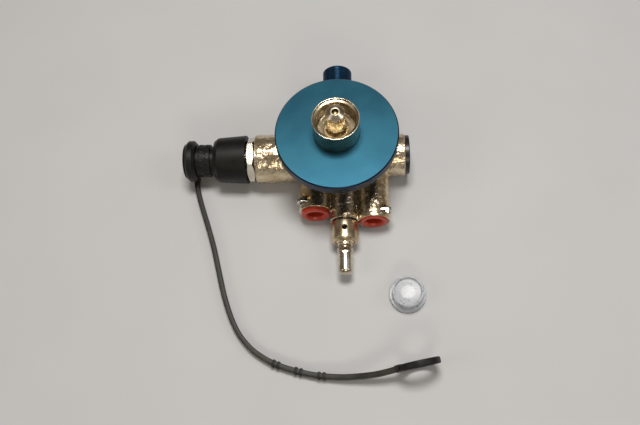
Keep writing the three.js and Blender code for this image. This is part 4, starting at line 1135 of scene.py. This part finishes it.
COLLARS = [
    ("left", LEFT_AXIS, OUT_FRONT, SMALL_TUBE, SMALL_COLLAR, 2 * MM, red_acetal),
    ("right", RIGHT_AXIS, OUT_FRONT, SMALL_TUBE, SMALL_COLLAR, 2 * MM, red_acetal),
    ("side", MAIN_AXIS, OUT_RIGHT, LARGE_TUBE, LARGE_COLLAR, 2.6 * MM, black_acetal),
]
for name, *sizes in COLLARS:
    take_over(release_collar(f"{name}_collar", f"{name}_release_collar", *sizes),
              f"{name}_release_collar")

# ---------------------------------------------------------------- vent fitting
# A small turned barrel with a breather hole on top. Its gland holds the plunger, whose bead is
# cross drilled and whose rounded nose is pressed by hand.

VENT_RADIUS = 7 * MM
VENT_START = CENTRE_END + 1 * MM
VENT_END = VENT_START + 10.4 * MM
VENT_HOLE = 1.25 * MM
VENT_HOLE_AT = VENT_START + 4.4 * MM
VENT_CHAMBER = 4.9 * MM
GLAND_NECK = 3.75 * MM
GLAND_END = VENT_END + 1.9 * MM
PLUNGER_RADIUS = 3.6 * MM
BEAD_RADIUS = 4 * MM
BEAD_START = GLAND_END + 1.3 * MM
BEAD_END = BEAD_START + 2.8 * MM
CROSS_HOLE = 1.9 * MM
STEM_RADIUS = 2.2 * MM
VENT_PASSAGE = 1.5 * MM
VENT_THREAD = 4.4 * MM
VENT_CHAMFER = 1 * MM
GUIDE_END = VENT_END - 3.1 * MM
GUIDE_LENGTH = 1.1 * MM
NOSE = 1.2 * MM

vent_bronze = polished("vent_bronze", (0.56, 0.44, 0.27, 1), (0.76, 0.65, 0.46, 1), ROUND_Y, 0.26)
pin_nickel = polished("pin_nickel", (0.56, 0.49, 0.38, 1), (0.76, 0.69, 0.58, 1), ROUND_Y, 0.24)


def cross_drilled(name, outline, material, hole, hole_at):
    """A turned piece on the vent's axis, with a hole drilled down into it."""
    piece = rod(outline, CENTRE_AXIS, OUT_FRONT)
    piece.data.materials[0] = material
    over = CENTRE_AXIS + Vector((0, -hole_at, 0))
    combined(piece, "DIFFERENCE", rod(hole, over, UPWARDS, sides=48))
    piece.name = name
    return shade(piece)


def vent_body():
    start = -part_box("vent_body")[1].y
    floor = VENT_START + 1.4 * MM
    outline = [
        (VENT_PASSAGE, start), (VENT_THREAD, start, 0.3 * MM), (VENT_THREAD, VENT_START),
        (VENT_RADIUS, VENT_START, 0.3 * MM), (VENT_RADIUS, VENT_END - VENT_CHAMFER, 0.3 * MM),
        (VENT_RADIUS - VENT_CHAMFER, VENT_END, 0.3 * MM),
        (VENT_CHAMBER, VENT_END, 0.1 * MM), (VENT_CHAMBER, floor), (VENT_PASSAGE, floor)]
    hole = [(0, 3 * MM), (VENT_HOLE, 3 * MM), (VENT_HOLE, VENT_RADIUS - 0.35 * MM),
            (VENT_HOLE + 1 * MM, VENT_RADIUS + 0.65 * MM), (0, VENT_RADIUS + 0.65 * MM)]
    return cross_drilled("vent_barrel", outline, vent_bronze, hole, VENT_HOLE_AT)


def vent_gland():
    back = -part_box("vent_gland")[1].y
    bore = STEM_RADIUS + GAP
    thread = VENT_CHAMBER - GAP
    outline = [(bore, back), (thread, back), (thread, VENT_END - 0.1 * MM),
               (GLAND_NECK, VENT_END + GAP, 0.4 * MM), (GLAND_NECK, GLAND_END, 0.3 * MM),
               (bore, GLAND_END, 0.1 * MM)]
    return turned("gland_nut", outline, CENTRE_AXIS, OUT_FRONT, vent_bronze)


def plunger():
    low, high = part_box("plunger")
    back, front = -high.y, -low.y
    guide = VENT_CHAMBER - 2 * GAP
    guide_start = GUIDE_END - GUIDE_LENGTH
    outline = [
        (0, back), (VENT_PASSAGE, back, 0.3 * MM), (VENT_PASSAGE, guide_start),
        (guide, guide_start, 0.2 * MM), (guide, GUIDE_END, 0.2 * MM), (STEM_RADIUS, GUIDE_END),
        (STEM_RADIUS, BEAD_START),
        (PLUNGER_RADIUS, BEAD_START, 0.1 * MM), (BEAD_RADIUS, BEAD_START + 0.5 * MM, 0.4 * MM),
        (BEAD_RADIUS, BEAD_END - 0.5 * MM, 0.4 * MM), (PLUNGER_RADIUS, BEAD_END, 0.2 * MM),
        (PLUNGER_RADIUS, front - NOSE, 1.4 * MM), (PLUNGER_RADIUS - NOSE, front, 1.2 * MM),
        (0, front)]
    hole = [(0, -1.4 * MM), (CROSS_HOLE, -1.4 * MM), (CROSS_HOLE, 8 * MM), (0, 8 * MM)]
    return cross_drilled("plunger_pin", outline, pin_nickel, hole, (BEAD_START + BEAD_END) / 2)


take_over(vent_body(), "vent_body")
take_over(vent_gland(), "vent_gland")
take_over(plunger(), "plunger")

# ---------------------------------------------------------------- retaining clips
# Square steel wire, bent over a corner. Each clip is pushed into its slot across a front port and
# keeps that port's cartridge in the body.

CLIP_WIRE = 1.8 * MM
CLIP_EDGE = 0.3 * MM
CLIP_BEND = 0.9 * MM
CLIP_BEND_STEPS = 6


def stainless(name, dark, light, roughness):
    """Drawn steel wire: fine lines along it, and small bright and dull patches."""
    steel = Finish(name, Metallic=1.0)
    drawn = steel.noise(1 * MM, detail=3, place=steel.stretched(1, 12, 12))
    cloud = steel.noise(2.5 * MM)
    return steel.surface(cloud, dark, light, drawn * 0.14 + cloud * 0.06 + (roughness - 0.1),
                         drawn, 0.01 * MM)


clip_steel = stainless("clip_steel", (0.55, 0.54, 0.52, 1), (0.74, 0.73, 0.71, 1), 0.2)
spring_steel = stainless("spring_steel", (0.42, 0.41, 0.40, 1), (0.60, 0.59, 0.57, 1), 0.28)


def clip(side, outer_side):
    low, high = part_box(f"{side}_retaining_clip")
    y = (low.y + high.y) / 2
    half = CLIP_WIRE / 2
    leg = high.x - half if outer_side > 0 else low.x + half
    inner = low.x if outer_side > 0 else high.x
    top = high.z - half
    path = [Vector((inner, y, top)), Vector(((inner + leg) / 2, y, top))]
    for step in range(CLIP_BEND_STEPS + 1):
        angle = math.radians(90 * step / CLIP_BEND_STEPS)
        path.append(Vector((leg - outer_side * CLIP_BEND * (1 - math.sin(angle)), y,
                            top - CLIP_BEND * (1 - math.cos(angle)))))
    path.append(Vector((leg, y, low.z)))
    section = rounded_rectangle(CLIP_WIRE, CLIP_WIRE, CLIP_EDGE)
    return swept(f"{side}_clip", path, section, clip_steel, across=Vector((0, 1, 0)))


for side, outer_side in (("left", -1), ("right", 1)):
    take_over(clip(side, outer_side), f"{side}_retaining_clip")

# ---------------------------------------------------------------- bonnet and adjusting knob
# The bonnet screws into the rear boss on a washer. The knob turns on its neck: a turned
# aluminium sleeve, anodised navy, with fine grip rings all along it.

BONNET_ACROSS_FLATS = 15 * MM
BONNET_NECK = 4.9 * MM
BONNET_THREAD = 6 * MM
BONNET_BORE = 1.9 * MM
BONNET_HEX_FROM, BONNET_HEX_TO = REAR_END + 1.2 * MM, REAR_END + 5.2 * MM
KNOB_DRIVE = 3.2 * MM
KNOB_DRIVE_DEPTH = 8.5 * MM
KNOB_RADIUS = 7.8 * MM
KNOB_CHAMFER = 0.8 * MM
KNOB_RING_STEP = 0.85 * MM
KNOB_RING_SECTION = 0.36 * MM
KNOB_RING_MARGIN = 0.8 * MM
KNOB_RING_ROOT = 0.2 * MM
KNOB_RING_SINK = 0.3 * MM

navy_skin = anodised("navy_anodised", (0.006, 0.030, 0.075, 1), (0.010, 0.050, 0.110, 1), ROUND_Y, 0.3)


def bonnet():
    low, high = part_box("bonnet")
    outline = [(BONNET_BORE, low.y), (BONNET_THREAD, low.y, 0.3 * MM),
               (BONNET_THREAD, BONNET_HEX_FROM + MACHINING), (BONNET_NECK, BONNET_HEX_FROM + MACHINING),
               (BONNET_NECK, high.y, 0.3 * MM), (BONNET_BORE, high.y, 0.2 * MM)]
    nut = hexagon(BONNET_ACROSS_FLATS, BONNET_HEX_FROM, BONNET_HEX_TO, MAIN_AXIS, OUT_REAR)
    combined(nut, "DIFFERENCE",
             drill(BONNET_BORE + 0.5 * MM, 0, 60 * MM, MAIN_AXIS, OUT_REAR, sides=48))
    combined(nut, "UNION", rod(outline, MAIN_AXIS, OUT_REAR))
    nut.name = "bonnet_nut"
    return shade(nut, 40)


def knob_sleeve():
    start, end = (corner.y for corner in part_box("adjusting_knob"))
    cavity = BONNET_NECK + 2 * GAP
    cavity_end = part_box("bonnet")[1].y + 2 * GAP
    drive_end = end - KNOB_DRIVE_DEPTH
    root = KNOB_RADIUS - KNOB_RING_ROOT
    outline = [
        (0, drive_end), (KNOB_DRIVE, drive_end), (KNOB_DRIVE, cavity_end), (cavity, cavity_end),
        (cavity, start, 0.2 * MM), (root - KNOB_RING_ROOT, start, 0.15 * MM),
        (root, start + 0.5 * MM), (root, end - KNOB_CHAMFER),
        (KNOB_RADIUS, end - KNOB_CHAMFER, 0.2 * MM),
        (KNOB_RADIUS - KNOB_CHAMFER, end, 0.2 * MM), (0, end)]
    return turned("knob_sleeve", outline, MAIN_AXIS, OUT_REAR, navy_skin)


def knob_rings():
    low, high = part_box("adjusting_knob")
    first = low.y + KNOB_RING_MARGIN
    room = high.y - KNOB_CHAMFER - first
    count = int(room / KNOB_RING_STEP) + 1
    sizes = {"Radius": KNOB_RADIUS - KNOB_RING_SINK, "Section": KNOB_RING_SECTION, "First": first,
             "Step": KNOB_RING_STEP, "Height": MAIN_AXIS.z}
    graph, given, result = geometry_tree("knob_rings", **sizes)
    start = vector(graph, 0.0, given["First"], given["Height"])
    stride = vector(graph, 0.0, given["Step"], 0.0)
    points = graph.add("GeometryNodeMeshLine", {"mode": "OFFSET"},
                       {"Count": count, "Start Location": start, "Offset": stride})[0]
    circle = graph.add("GeometryNodeCurvePrimitiveCircle",
                       values={"Resolution": 96, "Radius": given["Radius"]})[0]
    section = graph.add("GeometryNodeCurvePrimitiveCircle",
                        values={"Resolution": 8, "Radius": given["Section"]})[0]
    ring = graph.add("GeometryNodeCurveToMesh", values={"Curve": circle, "Profile Curve": section})[0]
    set_on_points(graph, result, points, ring, (math.pi / 2, 0.0, 0.0), navy_skin)
    return shade(run_tree(new_object("knob_rings", bmesh.new()), graph, sizes), 60)


take_over(bonnet(), "bonnet")
take_over(washer("bonnet_seal", "bonnet_washer", MAIN_AXIS, OUT_REAR, 6.3 * MM), "bonnet_washer")
take_over(knob_sleeve(), "adjusting_knob")
rings = knob_rings()
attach(rings, "knob")

# ---------------------------------------------------------------- loose port plug
# A thin push-in plug of milky polyethylene, taken out of a port and left on the table. It has a
# brim to pull it by, and is hollow below.

PLUG_RADIUS = 7.7 * MM
PLUG_BRIM = 9.2 * MM
PLUG_BRIM_HEIGHT = 2.4 * MM
PLUG_WALL = 0.9 * MM
PLUG_RECESS = 1.4 * MM
PLUG_DISH = 0.5 * MM
DISH_ROUNDING = 8 * MM


def milky(name, dark, light):
    """Unfilled polyethylene: milky, waxy, and a little uneven in thickness."""
    plastic = Finish(name, Transmission_Weight=0.7, IOR=1.45, Specular_IOR_Level=0.35)
    cloud = plastic.noise(4 * MM, detail=2)
    speck = plastic.noise(0.4 * MM)
    return plastic.surface(cloud, dark, light, cloud * 0.12 + speck * 0.06 + 0.20,
                           cloud * 2 + speck * 0.4, 0.02 * MM)


milky_plastic = milky("milky_polyethylene", (0.80, 0.84, 0.90, 1), (0.92, 0.94, 0.97, 1))


def port_plug():
    low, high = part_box("port_plug")
    middle = centre("port_plug")
    bore = PLUG_RADIUS - PLUG_WALL
    floor = high.z - PLUG_RECESS
    outline = [
        (0, floor - PLUG_WALL - PLUG_DISH), (bore / 2, floor - PLUG_WALL - 0.8 * PLUG_DISH, DISH_ROUNDING),
        (bore, floor - PLUG_WALL, 0.4 * MM), (bore, low.z, 0.2 * MM),
        (PLUG_BRIM, low.z, 0.3 * MM), (PLUG_BRIM, PLUG_BRIM_HEIGHT, 0.6 * MM),
        (PLUG_RADIUS, PLUG_BRIM_HEIGHT, 0.4 * MM), (PLUG_RADIUS, high.z, 0.35 * MM),
        (bore + 0.1 * MM, high.z, 0.35 * MM), (bore - 0.2 * MM, floor, 0.5 * MM),
        (bore / 2, floor - 0.8 * PLUG_DISH, DISH_ROUNDING), (0, floor - PLUG_DISH)]
    return turned("plug_moulding", outline, (middle.x, middle.y, 0), UPWARDS, milky_plastic)


take_over(port_plug(), "port_plug")

# ---------------------------------------------------------------- inner pieces
# The springs, seals, sleeves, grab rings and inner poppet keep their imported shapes. Each gets the
# finish of its own slot.

turned_brass = polished("turned_brass", (0.50, 0.34, 0.13, 1), (0.70, 0.50, 0.22, 1), ROUND_Z, 0.25)
INNER_FINISHES = {
    "stainless_steel": spring_steel,
    "seal_rubber": seal_rubber,
    "bare_brass": turned_brass,
    "black_rubber": cap_rubber,
    "nickel_plate": machined_nickel,
    "teal_anodised": teal_skin,
    "navy_anodised": navy_skin,
    "red_plastic": red_acetal,
    "black_plastic": black_acetal,
    "clear_plastic": milky_plastic,
}
for node, piece in frame["nodes"].items():
    for entry in piece.material_slots:
        entry.material = INNER_FINISHES[slot_of(node)]
